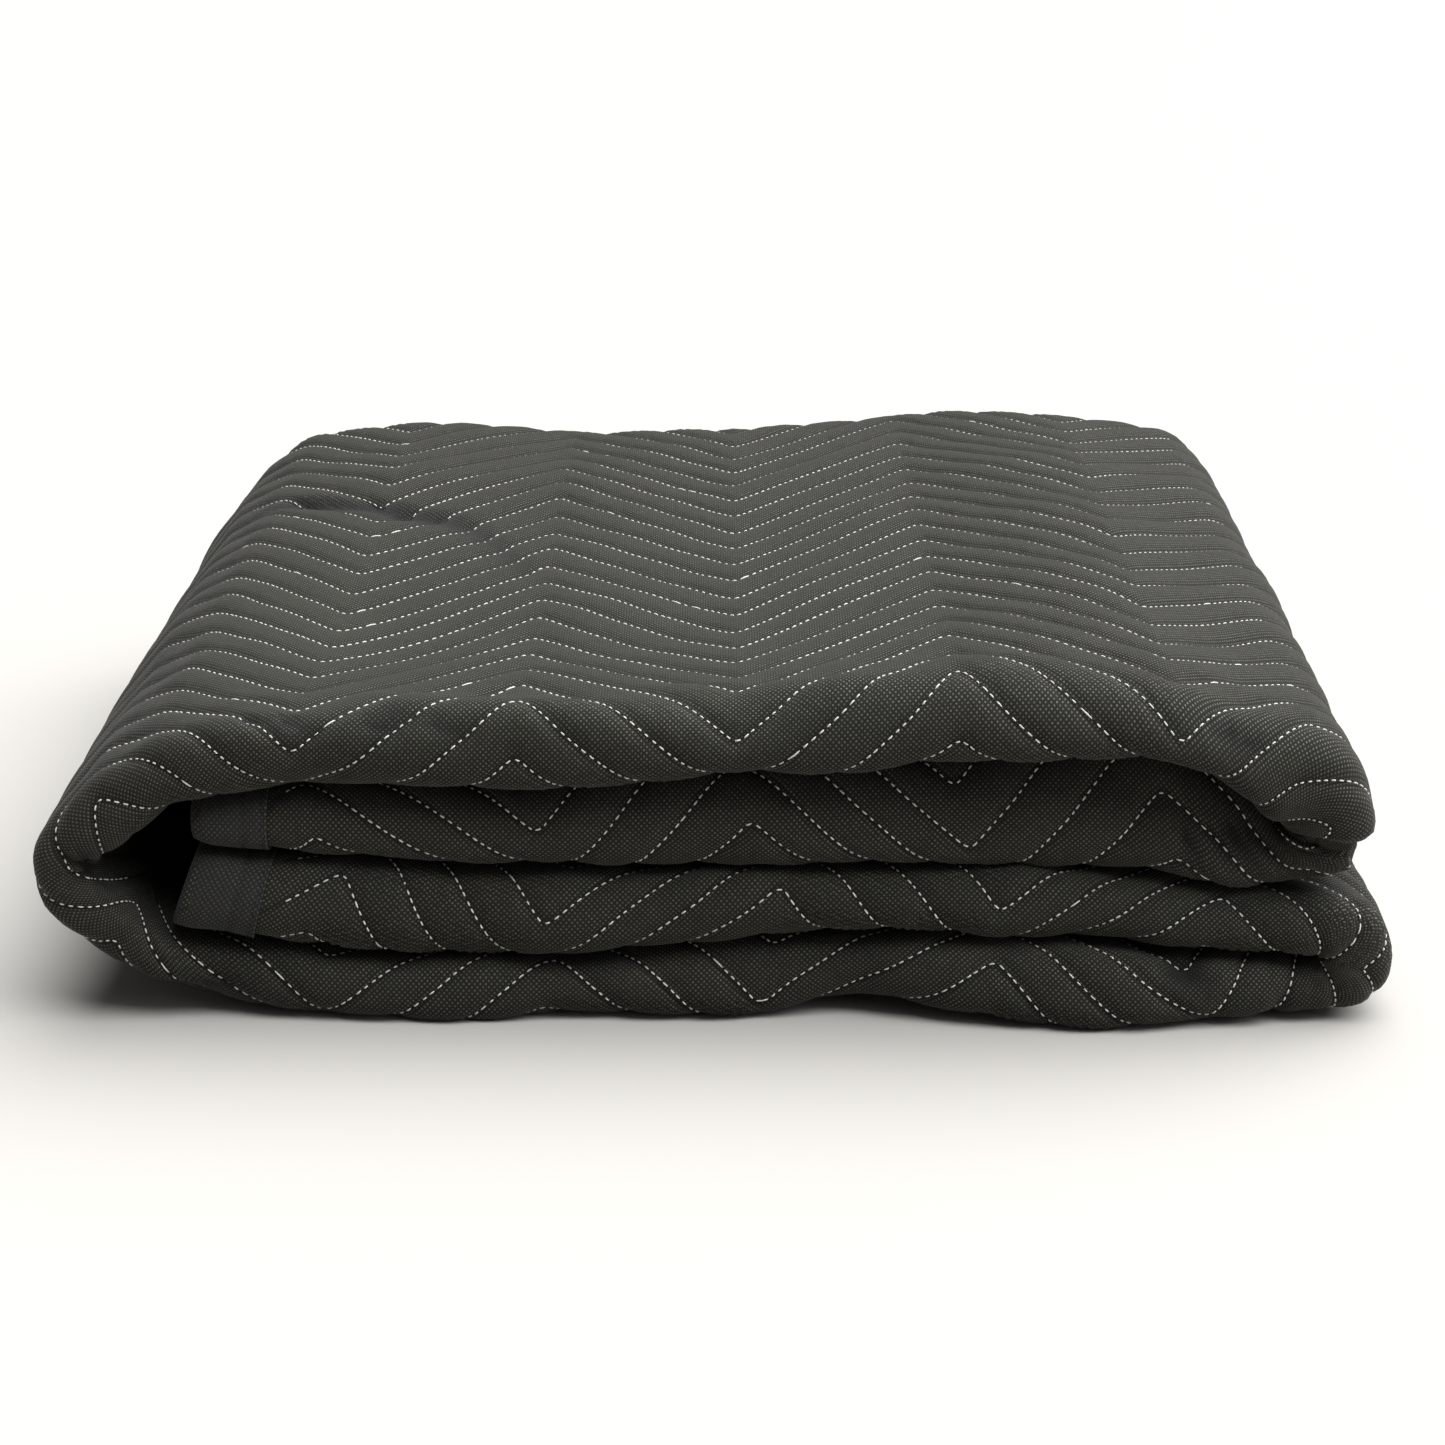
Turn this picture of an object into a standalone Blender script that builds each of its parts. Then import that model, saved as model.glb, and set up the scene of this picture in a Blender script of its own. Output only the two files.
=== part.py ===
# A quilted moving blanket, folded in four across its width and then in four along its length.
# Metres, +Z up. The big folds face -Y, the long side runs along X, the stack stands on z = 0.

import math
from collections import namedtuple

import bmesh
import bpy

NAME = "moving_blanket"

# The open blanket and its cloth
BLANKET_WIDTH = 1.829
SHEET_THICKNESS = 0.0065
THICKEST_SHARE = 0.215
BAND_GAP = 0.0014

# Folded in four across its width: the front fold holds all four layers, two folds lie behind
FOLD_BULGE = 0.006
DEPTH = BLANKET_WIDTH / 4 + FOLD_BULGE
FRONT_Y = -DEPTH / 2
BACK_Y = DEPTH / 2
NOSE_DEPTH = 0.016
NOSE_SQUARENESS = 0.86
EDGE_TO_NOSE = 0.030
EDGE_ROUND = 0.0012

# Zigzag quilting: pitch of the lines, half of one zigzag along the blanket, its swing
LINE_PITCH = 0.0252
HALF_ZIGZAG = 0.0828
ZIGZAG_SWING = 0.0415
TOP_VALLEY_X = 0.0095
VALLEY_FROM_NOSE = 0.0256
PINCH = 0.0018

# Binding tape sewn over the two cut ends
BINDING_WIDTH = 0.028
BINDING_THICKNESS = 0.0006
BINDING_CLEAR = 0.0005
BOUND_THICKNESS = 0.0024
BOUND_INSET = 0.0012
BINDING_SLOPE = 0.010

# Heights of the stack along X: the top of each band at the front, and of the whole at the back
Level = namedtuple("Level", "x fourth third second first back")
LEVELS = (
    Level(-0.2050, 0.0350, 0.0670, 0.0885, 0.1150, 0.1280),
    Level(-0.1561, 0.0268, 0.0625, 0.0905, 0.1203, 0.1335),
    Level(-0.0733, 0.0222, 0.0580, 0.0912, 0.1245, 0.1310),
    Level(0.0095, 0.0288, 0.0570, 0.0968, 0.1265, 0.1322),
    Level(0.0509, 0.0305, 0.0585, 0.0990, 0.1320, 0.1350),
    Level(0.0923, 0.0330, 0.0590, 0.1015, 0.1362, 0.1388),
    Level(0.1337, 0.0305, 0.0575, 0.1032, 0.1345, 0.1425),
    Level(0.1751, 0.0265, 0.0522, 0.1010, 0.1262, 0.1408),
    Level(0.1980, 0.0245, 0.0490, 0.0890, 0.1185, 0.1380),
    Level(0.2140, 0.0238, 0.0482, 0.0740, 0.1130, 0.1335),
    Level(0.2350, 0.0235, 0.0480, 0.0730, 0.1050, 0.1260),
)

# Turns at the right end: the middle of the turn at front and back, and how far the cloth reaches
Turn = namedtuple("Turn", "x back_x reach")
UPPER_TURN = Turn(0.214, 0.226, 0.0300)
LOWER_TURN = Turn(0.230, 0.234, 0.0286)

# The wrap at the left end, from the top of the stack down: outer and inner face
Rib = namedtuple("Rib", "outer_x outer_z inner_x inner_z")
WRAP = (
    Rib(-0.2060, 0.1125, -0.2020, 0.0886),
    Rib(-0.2260, 0.0985, -0.2165, 0.0775),
    Rib(-0.2430, 0.0820, -0.2275, 0.0695),
    Rib(-0.2520, 0.0690, -0.2330, 0.0650),
    Rib(-0.2535, 0.0590, -0.2345, 0.0615),
    Rib(-0.2495, 0.0455, -0.2325, 0.0570),
    Rib(-0.2370, 0.0315, -0.2250, 0.0500),
    Rib(-0.2180, 0.0175, -0.2150, 0.0410),
    Rib(-0.1980, 0.0070, -0.2030, 0.0328),
    Rib(-0.1800, 0.0015, -0.1830, 0.0295),
)
WRAP_TOP_X = -0.180
WRAP_BOTTOM_X = -0.165
WRAP_BACK_SHIFT = -0.003

# Cut ends of the blanket, inside the wrap: place of the outer and of the inner face
UPPER_END = Rib(-0.1930, None, -0.1930, None)
LOWER_END = Rib(-0.1910, None, -0.2010, None)

# Where the slant of the cut ends has died out
LEAN_X = -0.0733

# Rows round the folds, columns round a turn, and the strip where the lines bend to the fold
NOSE_STEPS = 4
FOLD_STEPS = 5
TURN_STEPS = 5
LINE_FADE = 0.062
QUILT_ROWS = 34
CROWDED_STEP = 0.002

BLANKET_COLOUR = (0.085, 0.085, 0.077)
BINDING_COLOUR = (0.030, 0.030, 0.028)


def blend(a, b, share):
    return a + (b - a) * share


def height(x, column):
    # Height of one column of the levels at x, straight from row to row
    x = min(max(x, LEVELS[0].x), LEVELS[-1].x)
    above = next(i for i in range(1, len(LEVELS)) if x <= LEVELS[i].x)
    low = LEVELS[above - 1]
    high = LEVELS[above]
    share = (x - low.x) / (high.x - low.x)
    return blend(getattr(low, column), getattr(high, column), share)


def back_rise(x):
    # How much taller the stack is at the back than at the front
    return height(x, "back") / height(x, "first")


def flat_rib(band, x):
    # Outer and inner face of a band where it lies flat; bands count down from the top
    half = BAND_GAP / 2
    if band == 1:
        return Rib(x, height(x, "first"), x, height(x, "second") + half)
    if band == 2:
        return Rib(x, height(x, "third") + half, x, height(x, "second") - half)
    if band == 3:
        return Rib(x, height(x, "third") - half, x, height(x, "fourth") + half)
    return Rib(x, 0.0, x, height(x, "fourth") - half)


def turn_rib(turn, upper_band, lower_band, share):
    # A rib turns from straight down to straight up about the middle of the turn
    angle = math.radians(180 * share - 90)
    below = flat_rib(lower_band, turn.x)
    above = flat_rib(upper_band, turn.x)
    middle = (below.inner_z + above.inner_z) / 2
    drop = middle - below.outer_z
    rise = above.outer_z - middle
    tall = rise if angle > 0 else drop
    half = BAND_GAP / 2
    return Rib(
        turn.x + turn.reach * math.cos(angle),
        middle + tall * math.sin(angle),
        turn.x + half * math.cos(angle),
        middle + half * math.sin(angle),
    )


def wrap_rib(share):
    # The wrap runs from the flat top of the stack to the flat underside
    ribs = (flat_rib(1, WRAP_TOP_X),) + WRAP + (flat_rib(4, WRAP_BOTTOM_X),)
    place = share * (len(ribs) - 1)
    i = min(int(place), len(ribs) - 2)
    return Rib(*(blend(a, b, place - i) for a, b in zip(ribs[i], ribs[i + 1])))


def end_rib(band, end, share, start_x):
    # Near a cut end the rib leans over to the slant of the cut
    outer_x = blend(end.outer_x, start_x, share)
    inner_x = blend(end.inner_x, start_x, share)
    outer = flat_rib(band, outer_x)
    inner = flat_rib(band, inner_x)
    return Rib(outer_x, outer.outer_z, inner_x, inner.inner_z)


# The stretches that lie flat, with the X of their two ends
FLATS = (
    (0, UPPER_END.outer_x, LEAN_X),
    (1, LEAN_X, UPPER_TURN.x),
    (3, UPPER_TURN.x, WRAP_TOP_X),
    (5, WRAP_BOTTOM_X, LOWER_TURN.x),
    (7, LOWER_TURN.x, LEAN_X),
    (8, LEAN_X, LOWER_END.outer_x),
)

# Stretches whose outer face shows its quilting; the rest lies between bands or on the ground
QUILTED = ((2.05, 4.95), (6.15, 6.95))


def front_rib(place):
    # The whole number of place names the stretch, the rest is the share along it
    stretch = min(int(place), 8)
    share = place - stretch
    if stretch == 0:
        return end_rib(2, UPPER_END, share, LEAN_X)
    if stretch == 1:
        return flat_rib(2, blend(LEAN_X, UPPER_TURN.x, share))
    if stretch == 2:
        return turn_rib(UPPER_TURN, 1, 2, share)
    if stretch == 3:
        return flat_rib(1, blend(UPPER_TURN.x, WRAP_TOP_X, share))
    if stretch == 4:
        return wrap_rib(share)
    if stretch == 5:
        return flat_rib(4, blend(WRAP_BOTTOM_X, LOWER_TURN.x, share))
    if stretch == 6:
        return turn_rib(LOWER_TURN, 3, 4, share)
    if stretch == 7:
        return flat_rib(3, blend(LOWER_TURN.x, LEAN_X, share))
    return end_rib(3, LOWER_END, 1 - share, LEAN_X)


def back_shift(x, place):
    # How far a point at x lies further out at the back of the stack
    turn = UPPER_TURN if place < 4.5 else LOWER_TURN
    if x > 0:
        return (turn.back_x - turn.x) * min(x / turn.x, 1.0) ** 4
    return WRAP_BACK_SHIFT * min(x / WRAP_TOP_X, 1.0) ** 4


def ribs_at(place):
    # The rib at the front, and the same rib at the back
    front = front_rib(place)
    back = Rib(
        front.outer_x + back_shift(front.outer_x, place),
        front.outer_z * back_rise(front.outer_x),
        front.inner_x + back_shift(front.inner_x, place),
        front.inner_z * back_rise(front.inner_x),
    )
    return front, back


def measure_strip():
    # Length along the outer face, for a list of places along the strip
    steps = 40
    places = [i / steps for i in range(9 * steps + 1)]
    lengths = [0.0]
    for before, after in zip(places, places[1:]):
        a = front_rib(before)
        b = front_rib(after)
        run = math.hypot(b.outer_x - a.outer_x, b.outer_z - a.outer_z)
        lengths.append(lengths[-1] + run)
    return places, lengths


PLACES, LENGTHS = measure_strip()
STRIP_LENGTH = LENGTHS[-1]


def lookup(value, values, results):
    for i in range(len(values) - 1):
        if value <= values[i + 1]:
            share = (value - values[i]) / (values[i + 1] - values[i])
            return blend(results[i], results[i + 1], share)
    return results[-1]


def place_of(length):
    return lookup(length, LENGTHS, PLACES)


def length_of(place):
    return lookup(place, PLACES, LENGTHS)


VALLEY_SHARE = (UPPER_TURN.x - TOP_VALLEY_X) / (UPPER_TURN.x - WRAP_TOP_X)
VALLEY_LENGTH = length_of(3 + VALLEY_SHARE)


def zigzag(length):
    # Shift of the quilting lines across the blanket; a valley points to the front
    turns = abs((length - VALLEY_LENGTH) / HALF_ZIGZAG) % 2
    climb = turns if turns <= 1 else 2 - turns
    return ZIGZAG_SWING * (2 * climb - 1)


def is_quilted(place):
    return any(first <= place <= last for first, last in QUILTED)


def sheet_at(length, rib_length):
    # Thickness of the cloth and the room left for the binding at a place along the strip
    from_end = min(length, STRIP_LENGTH - length)
    full = min(SHEET_THICKNESS, THICKEST_SHARE * rib_length)
    share = min(max((from_end - BINDING_WIDTH - 2 * BINDING_CLEAR) / BINDING_SLOPE, 0.0), 1.0)
    return blend(BOUND_THICKNESS, full, share), blend(BOUND_INSET, 0.0, share)


def rib_length(rib):
    return math.hypot(rib.outer_x - rib.inner_x, rib.outer_z - rib.inner_z)


def section_point(length, front, back, row, offset):
    # One point of the folded section. row is the distance from the nose along the outer face,
    # upper half above zero; offset is the distance outward from the middle of the cloth.
    side = 1 if row >= 0 else -1
    distance = abs(row)
    front_size = rib_length(front)
    back_size = rib_length(back)
    thick, inset = sheet_at(length, front_size)
    tall = front_size / 2 - inset - thick / 2
    nose = NOSE_DEPTH - thick / 2
    quarter = math.pi / 2 * math.sqrt(((nose + thick / 2) ** 2 + (tall + thick / 2) ** 2) / 2)
    if distance < quarter:
        angle = math.pi / 2 * distance / quarter
        along = math.cos(angle) ** NOSE_SQUARENESS
        up = math.sin(angle) ** NOSE_SQUARENESS
        y = FRONT_Y + NOSE_DEPTH - (nose + offset) * along
        return y, side * (tall + offset) * up / front_size + 0.5
    thick_back, inset_back = sheet_at(length, back_size)
    tall_back = back_size / 2 - inset_back - thick_back / 2
    small = tall_back / 3
    fold_y = BACK_Y - thick_back / 2 - small
    start_y = FRONT_Y + NOSE_DEPTH
    flat = fold_y - start_y
    turn = math.pi * (small + thick_back / 2)
    if distance < quarter + flat:
        y = start_y + distance - quarter
        share = (y - start_y) / flat
        size = blend(front_size, back_size, share)
        level = blend(tall, tall_back, share)
        return y, side * (level + offset) / size + 0.5
    if distance < quarter + flat + turn:
        angle = math.pi * (distance - quarter - flat) / turn
        y = fold_y + (small + offset) * math.sin(angle)
        level = tall_back - small + (small + offset) * math.cos(angle)
        return y, side * level / back_size + 0.5
    y = fold_y - (distance - quarter - flat - turn)
    share = (y - start_y) / flat
    size = blend(front_size, back_size, share)
    level = blend(tall, tall_back, share) / 3
    return y, side * (level - offset) / size + 0.5


def place_point(front, back, y, share):
    # From the section to space: share 0 is the inner face of the strip, 1 the outer face
    depth = min(max((y - FRONT_Y) / DEPTH, 0.0), 1.0)
    outer_x = blend(front.outer_x, back.outer_x, depth)
    outer_z = blend(front.outer_z, back.outer_z, depth)
    inner_x = blend(front.inner_x, back.inner_x, depth)
    inner_z = blend(front.inner_z, back.inner_z, depth)
    return blend(inner_x, outer_x, share), y, blend(inner_z, outer_z, share)


def stretches(length, front, back):
    # Lengths of the quarter round the nose, of a flat, of the fold behind, and to the long edge
    thick, inset = sheet_at(length, rib_length(front))
    thick_back, inset_back = sheet_at(length, rib_length(back))
    tall = rib_length(front) / 2 - inset
    quarter = math.pi / 2 * math.sqrt((NOSE_DEPTH ** 2 + tall ** 2) / 2)
    small = (rib_length(back) / 2 - inset_back - thick_back / 2) / 3
    flat = BACK_Y - thick_back / 2 - small - FRONT_Y - NOSE_DEPTH
    turn = math.pi * (small + thick_back / 2)
    return quarter, flat, turn, quarter + 2 * flat + turn - EDGE_TO_NOSE + NOSE_DEPTH


def spread(first, last, steps):
    return [blend(first, last, i / steps) for i in range(steps + 1)]


def plain_rows(sizes, nose_steps, flat_steps, fold_steps):
    # Rows of half the section without quilting, from beside the nose out to the long edge
    quarter, flat, turn, edge = sizes
    rows = spread(0.0, quarter, nose_steps)[1:]
    rows += spread(quarter, quarter + flat, flat_steps)[1:]
    rows += spread(quarter + flat, quarter + flat + turn, fold_steps)[1:]
    rows += spread(quarter + flat + turn, edge, flat_steps)[1:]
    return rows


def quilted_rows(sizes, shift, quilted):
    # Rows on the flat of the outer layer: they follow the zigzag, every second one is a stitch line
    quarter, flat = sizes[:2]
    first = VALLEY_FROM_NOSE + ZIGZAG_SWING - 1.5 * LINE_PITCH
    rows = []
    for i in range(QUILT_ROWS):
        row = first + i * LINE_PITCH / 2
        inside = min(row - quarter, quarter + flat - row)
        share = min(max(inside / LINE_FADE, 0.0), 1.0)
        row = max(row + shift * share, quarter + (i + 1) * CROWDED_STEP)
        pinch = PINCH * min(3 * share, 1.0) if i % 2 else 0.0
        if not quilted:
            row = quarter + flat * (i + 1) / (QUILT_ROWS + 1)
            pinch = 0.0
        rows.append((row, pinch))
    return rows


def blanket_section(place):
    # The closed outline of the four layers at one place along the strip
    length = length_of(place)
    front, back = ribs_at(place)
    half = sheet_at(length, rib_length(front))[0] / 2
    sizes = stretches(length, front, back)
    quarter, flat, turn, edge = sizes
    quilting = quilted_rows(sizes, zigzag(length), is_quilted(place))
    outer = plain_rows(sizes, NOSE_STEPS, 3, FOLD_STEPS)
    inner = plain_rows(sizes, NOSE_STEPS, 3, 4)
    upper = [row for row in outer if row > quarter + flat - LINE_PITCH / 8]
    # Outer side, from the lower long edge round the nose to the upper long edge
    outline = [(-row, half) for row in reversed(outer)]
    outline += [(row, half) for row in spread(0.0, quarter, NOSE_STEPS)]
    outline += [(row, half - pinch) for row, pinch in quilting]
    outline += [(row, half) for row in upper]
    outline.append((edge + EDGE_ROUND, 0.0))
    # Inner side, back again
    outline += [(row, -half) for row in reversed(inner)]
    outline.append((0.0, -half))
    outline += [(-row, -half) for row in inner]
    outline.append((-edge - EDGE_ROUND, 0.0))
    return [place_point(front, back, *section_point(length, front, back, row, offset))
            for row, offset in outline]


def binding_lines(end):
    # The lines of the tape along a cut end, each a list of points from long edge to long edge
    inner = BOUND_THICKNESS / 2 + BINDING_CLEAR
    outer = inner + BINDING_THICKNESS
    past = BINDING_CLEAR + BINDING_THICKNESS
    loop = (
        (BINDING_WIDTH, outer), (0.0, outer), (-past, outer / 2),
        (-past, -outer / 2), (0.0, -outer), (BINDING_WIDTH, -outer),
        (BINDING_WIDTH, -inner), (-BINDING_CLEAR, -inner),
        (-BINDING_CLEAR, inner), (BINDING_WIDTH, inner),
    )
    lines = []
    for along, offset in loop:
        length = abs(end - max(along, 0.0))
        front, back = ribs_at(place_of(length))
        rows = plain_rows(stretches(length, front, back), 6, 3, 6)
        line = []
        for row in [-row for row in reversed(rows)] + [0.0] + rows:
            section = section_point(length, front, back, row, offset)
            x, y, z = place_point(front, back, *section)
            line.append((x + min(along, 0.0), y, z))
        lines.append(line)
    return lines


def binding_sections(end):
    # The same tape as closed sections, one for each row across the cloth
    return [list(section) for section in zip(*binding_lines(end))]


def column_places():
    # All bands have their columns at the same places along X, so that they nest
    bound = BINDING_WIDTH + 2 * BINDING_CLEAR
    places = {0.0, place_of(bound), place_of(STRIP_LENGTH - bound), 9.0}
    for stretch in (2, 6):
        places.update(stretch + i / TURN_STEPS for i in range(TURN_STEPS + 1))
    places.update(4 + i / (len(WRAP) + 1) for i in range(len(WRAP) + 2))
    for level in LEVELS[1:-1]:
        for stretch, start, end in FLATS:
            share = (level.x - start) / (end - start)
            if 0 <= share <= 1:
                places.add(stretch + share)
    return sorted(places)


def grid_object(name, sections, colour, roughness):
    # A grid whose rows go round each section and whose columns run along the strip
    across = len(sections[0])
    along = len(sections)
    work = bmesh.new()
    bmesh.ops.create_grid(work, x_segments=across, y_segments=along - 1, size=0.5)
    for vert in work.verts:
        i = round((vert.co.x + 0.5) * across) % across
        j = round((vert.co.y + 0.5) * (along - 1))
        vert.co = sections[j][i]
    bmesh.ops.remove_doubles(work, verts=work.verts, dist=0.00001)
    rim = [edge for edge in work.edges if edge.is_boundary]
    bmesh.ops.holes_fill(work, edges=rim, sides=0)
    bmesh.ops.recalc_face_normals(work, faces=work.faces)
    bmesh.ops.triangulate(work, faces=work.faces)
    mesh = bpy.data.meshes.new(name)
    work.to_mesh(mesh)
    work.free()
    mesh.shade_smooth()
    item = bpy.data.objects.new(name, mesh)
    item.data.materials.append(cloth_material(name, colour, roughness))
    bpy.data.collections[NAME].objects.link(item)
    return item


def cloth_material(name, colour, roughness):
    material = bpy.data.materials.new(name)
    material.use_nodes = True
    shader = material.node_tree.nodes["Principled BSDF"]
    shader.inputs["Base Color"].default_value = (*colour, 1.0)
    shader.inputs["Roughness"].default_value = roughness
    shader.inputs["Metallic"].default_value = 0.0
    return material


def centre_on_origin(items):
    # The origin is under the middle of the stack
    points = [vert.co for item in items for vert in item.data.vertices]
    low = [min(point[i] for point in points) for i in range(3)]
    high = [max(point[i] for point in points) for i in range(3)]
    shift = [-(low[0] + high[0]) / 2, -(low[1] + high[1]) / 2, -low[2]]
    print("shift", [round(value, 5) for value in shift])
    for item in items:
        for vert in item.data.vertices:
            vert.co = [vert.co[i] + shift[i] for i in range(3)]


def clear_scene():
    for item in list(bpy.data.objects):
        bpy.data.objects.remove(item, do_unlink=True)


def main():
    clear_scene()
    bpy.context.scene.collection.children.link(bpy.data.collections.new(NAME))
    sections = [blanket_section(place) for place in column_places()]
    print("columns", len(sections), "rows", len(sections[0]), "strip", round(STRIP_LENGTH, 4))
    items = [grid_object("quilted_blanket", sections, BLANKET_COLOUR, 0.9)]
    for name, end in (("upper_end_binding", 0.0), ("lower_end_binding", STRIP_LENGTH)):
        items.append(grid_object(name, binding_sections(end), BINDING_COLOUR, 0.75))
    centre_on_origin(items)


main()
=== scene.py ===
import math
import random

import bpy
import numpy as np
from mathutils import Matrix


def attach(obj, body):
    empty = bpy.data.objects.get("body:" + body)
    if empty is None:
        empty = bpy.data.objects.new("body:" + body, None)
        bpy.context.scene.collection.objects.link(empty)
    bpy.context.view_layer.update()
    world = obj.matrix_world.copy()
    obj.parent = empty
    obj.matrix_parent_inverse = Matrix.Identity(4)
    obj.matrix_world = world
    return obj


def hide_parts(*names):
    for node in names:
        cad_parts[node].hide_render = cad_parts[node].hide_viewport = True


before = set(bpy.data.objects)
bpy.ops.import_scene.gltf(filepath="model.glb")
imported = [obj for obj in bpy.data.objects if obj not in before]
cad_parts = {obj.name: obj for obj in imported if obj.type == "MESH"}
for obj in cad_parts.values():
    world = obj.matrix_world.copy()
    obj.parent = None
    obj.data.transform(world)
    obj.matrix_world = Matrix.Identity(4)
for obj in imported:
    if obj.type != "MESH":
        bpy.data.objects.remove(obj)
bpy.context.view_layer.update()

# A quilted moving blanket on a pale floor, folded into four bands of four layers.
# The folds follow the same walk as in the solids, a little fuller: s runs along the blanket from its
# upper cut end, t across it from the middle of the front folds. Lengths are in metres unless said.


# helpers

def linear(hexCode):
    parts = [int(hexCode[i:i + 2], 16) / 255 for i in (1, 3, 5)]
    return tuple(c / 12.92 if c <= 0.04045 else ((c + 0.055) / 1.055) ** 2.4 for c in parts) + (1.0,)


def addNode(tree, kind, settings, output=0):
    # settings are a node's own choices, values for its inputs, or the sockets that feed them
    node = tree.nodes.new("ShaderNode" + kind)
    for name, value in settings.items():
        if isinstance(value, bpy.types.NodeSocket):
            tree.links.new(value, node.inputs[name])
        elif isinstance(name, int) or name in node.inputs:
            node.inputs[name].default_value = value
        else:
            setattr(node, name, value)
    return node.outputs[output]


def calc(tree, operation, first, second=0.5, third=0.5):
    return addNode(tree, "Math", {"operation": operation, 0: first, 1: second, 2: third})


def remap(tree, source, low=0.0, high=1.0, toLow=0.0, toHigh=1.0, kind="LINEAR"):
    return addNode(tree, "MapRange", {
        "interpolation_type": kind, 0: source, 1: low, 2: high, 3: toLow, 4: toHigh})


def mixColours(tree, share, first, second):
    # each colour is a hex code or a socket
    first, second = [linear(colour) if isinstance(colour, str) else colour for colour in (first, second)]
    return addNode(tree, "Mix", {"data_type": "RGBA", 0: share, 6: first, 7: second}, 2)


def noise(tree, where, scale, detail, roughness=0.5):
    return addNode(tree, "TexNoise", {
        "Scale": scale, "Detail": detail, "Roughness": roughness, "Vector": where})


def bump(tree, height, strength, distance, **more):
    return addNode(tree, "Bump", {"Strength": strength, "Distance": distance, "Height": height, **more})


def newMaterial(name):
    material = bpy.data.materials.new(name)
    material.use_nodes = True
    tree = material.node_tree
    return material, tree, tree.nodes["Principled BSDF"]


def addObject(name, data):
    thing = bpy.data.objects.new(name, data)
    bpy.context.scene.collection.objects.link(thing)
    return thing


def addPiece(name, points, faces, uvs=None):
    # a smooth piece, with a UV layer for each table of places per point
    mesh = bpy.data.meshes.new(name)
    mesh.from_pydata(np.asarray(points).reshape(-1, 3).tolist(), [], faces)
    corner = np.zeros(len(mesh.loops), int)
    mesh.loops.foreach_get("vertex_index", corner)
    for layerName, values in (uvs or {}).items():
        layer = mesh.uv_layers.new(name=layerName)
        layer.data.foreach_set("uv", np.concatenate(values)[corner].ravel())
    mesh.shade_smooth()
    mesh.update()
    return addObject(name, mesh)


def smoothBetween(x, xs, ys, slope, k=()):
    # smooth line through the rows of a table that has a slope at each row
    i = np.clip(np.searchsorted(xs, x) - 1, 0, len(xs) - 2)
    w = xs[i + 1] - xs[i]
    f = (x - xs[i]) / w
    here, after = (i, *k), (i + 1, *k)
    return ((2 * f ** 3 - 3 * f ** 2 + 1) * ys[here] + (f ** 3 - 2 * f ** 2 + f) * w * slope[here]
            + (3 * f ** 2 - 2 * f ** 3) * ys[after] + (f ** 3 - f ** 2) * w * slope[after])


def curve(x, xs, ys):
    # smooth line through a table's rows, flat beyond its ends
    xs, ys = np.asarray(xs, float), np.asarray(ys, float)
    slope = np.gradient(ys, xs)
    slope[0] = slope[-1] = 0.0
    return smoothBetween(np.clip(x, xs[0], xs[-1]), xs, ys, slope)


def step(x, low, high):
    f = np.clip((x - low) / (high - low), 0.0, 1.0)
    return f * f * (3 - 2 * f)


def bell(x, middle, width):
    return np.exp(-((x - middle) / width) ** 2)


def runAlong(x, y):
    # distance walked along a line of points
    return np.concatenate([[0.0], np.cumsum(np.hypot(np.diff(x), np.diff(y)))])


# the folded stack, in metres
stack = {
    "width": 1.829,  # cut size of the open blanket, 72 by 80 inches
    "length": 2.032,
    "thick": 0.0065,
    "thickestShare": 0.215,
    "gap": 0.0014,
    "depth": 1.829 / 4 + 0.006,
    "noseDepth": 0.016,
    "edgeToNose": 0.030,
    "boundThick": 0.0024,
    "boundInset": 0.0012,
    "shiftX": -0.00232,
    "sample": 0.002,  # steps of the walk along the strip
    "softness": 0.005,  # over which its corners are evened out
}
frontY = -stack["depth"] / 2
backY = stack["depth"] / 2

# heights along x: tops of band 4, 3, 2 and 1 at the front, and of the whole at the back
levels = np.array([
    (-0.2050, 0.0350, 0.0670, 0.0885, 0.1150, 0.1305),
    (-0.1561, 0.0268, 0.0625, 0.0905, 0.1203, 0.1352),
    (-0.0733, 0.0222, 0.0580, 0.0912, 0.1245, 0.1310),
    (0.0095, 0.0288, 0.0570, 0.0968, 0.1265, 0.1322),
    (0.0509, 0.0305, 0.0585, 0.0990, 0.1320, 0.1350),
    (0.0923, 0.0330, 0.0590, 0.1015, 0.1362, 0.1388),
    (0.1337, 0.0305, 0.0575, 0.1032, 0.1345, 0.1425),
    (0.1751, 0.0265, 0.0522, 0.1010, 0.1262, 0.1408),
    (0.1980, 0.0245, 0.0490, 0.0890, 0.1185, 0.1380),
    (0.2140, 0.0238, 0.0482, 0.0740, 0.1130, 0.1335),
    (0.2350, 0.0235, 0.0480, 0.0730, 0.1050, 0.1260),
])
columns = {"fourth": 1, "third": 2, "second": 3, "first": 4, "back": 5}

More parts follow.
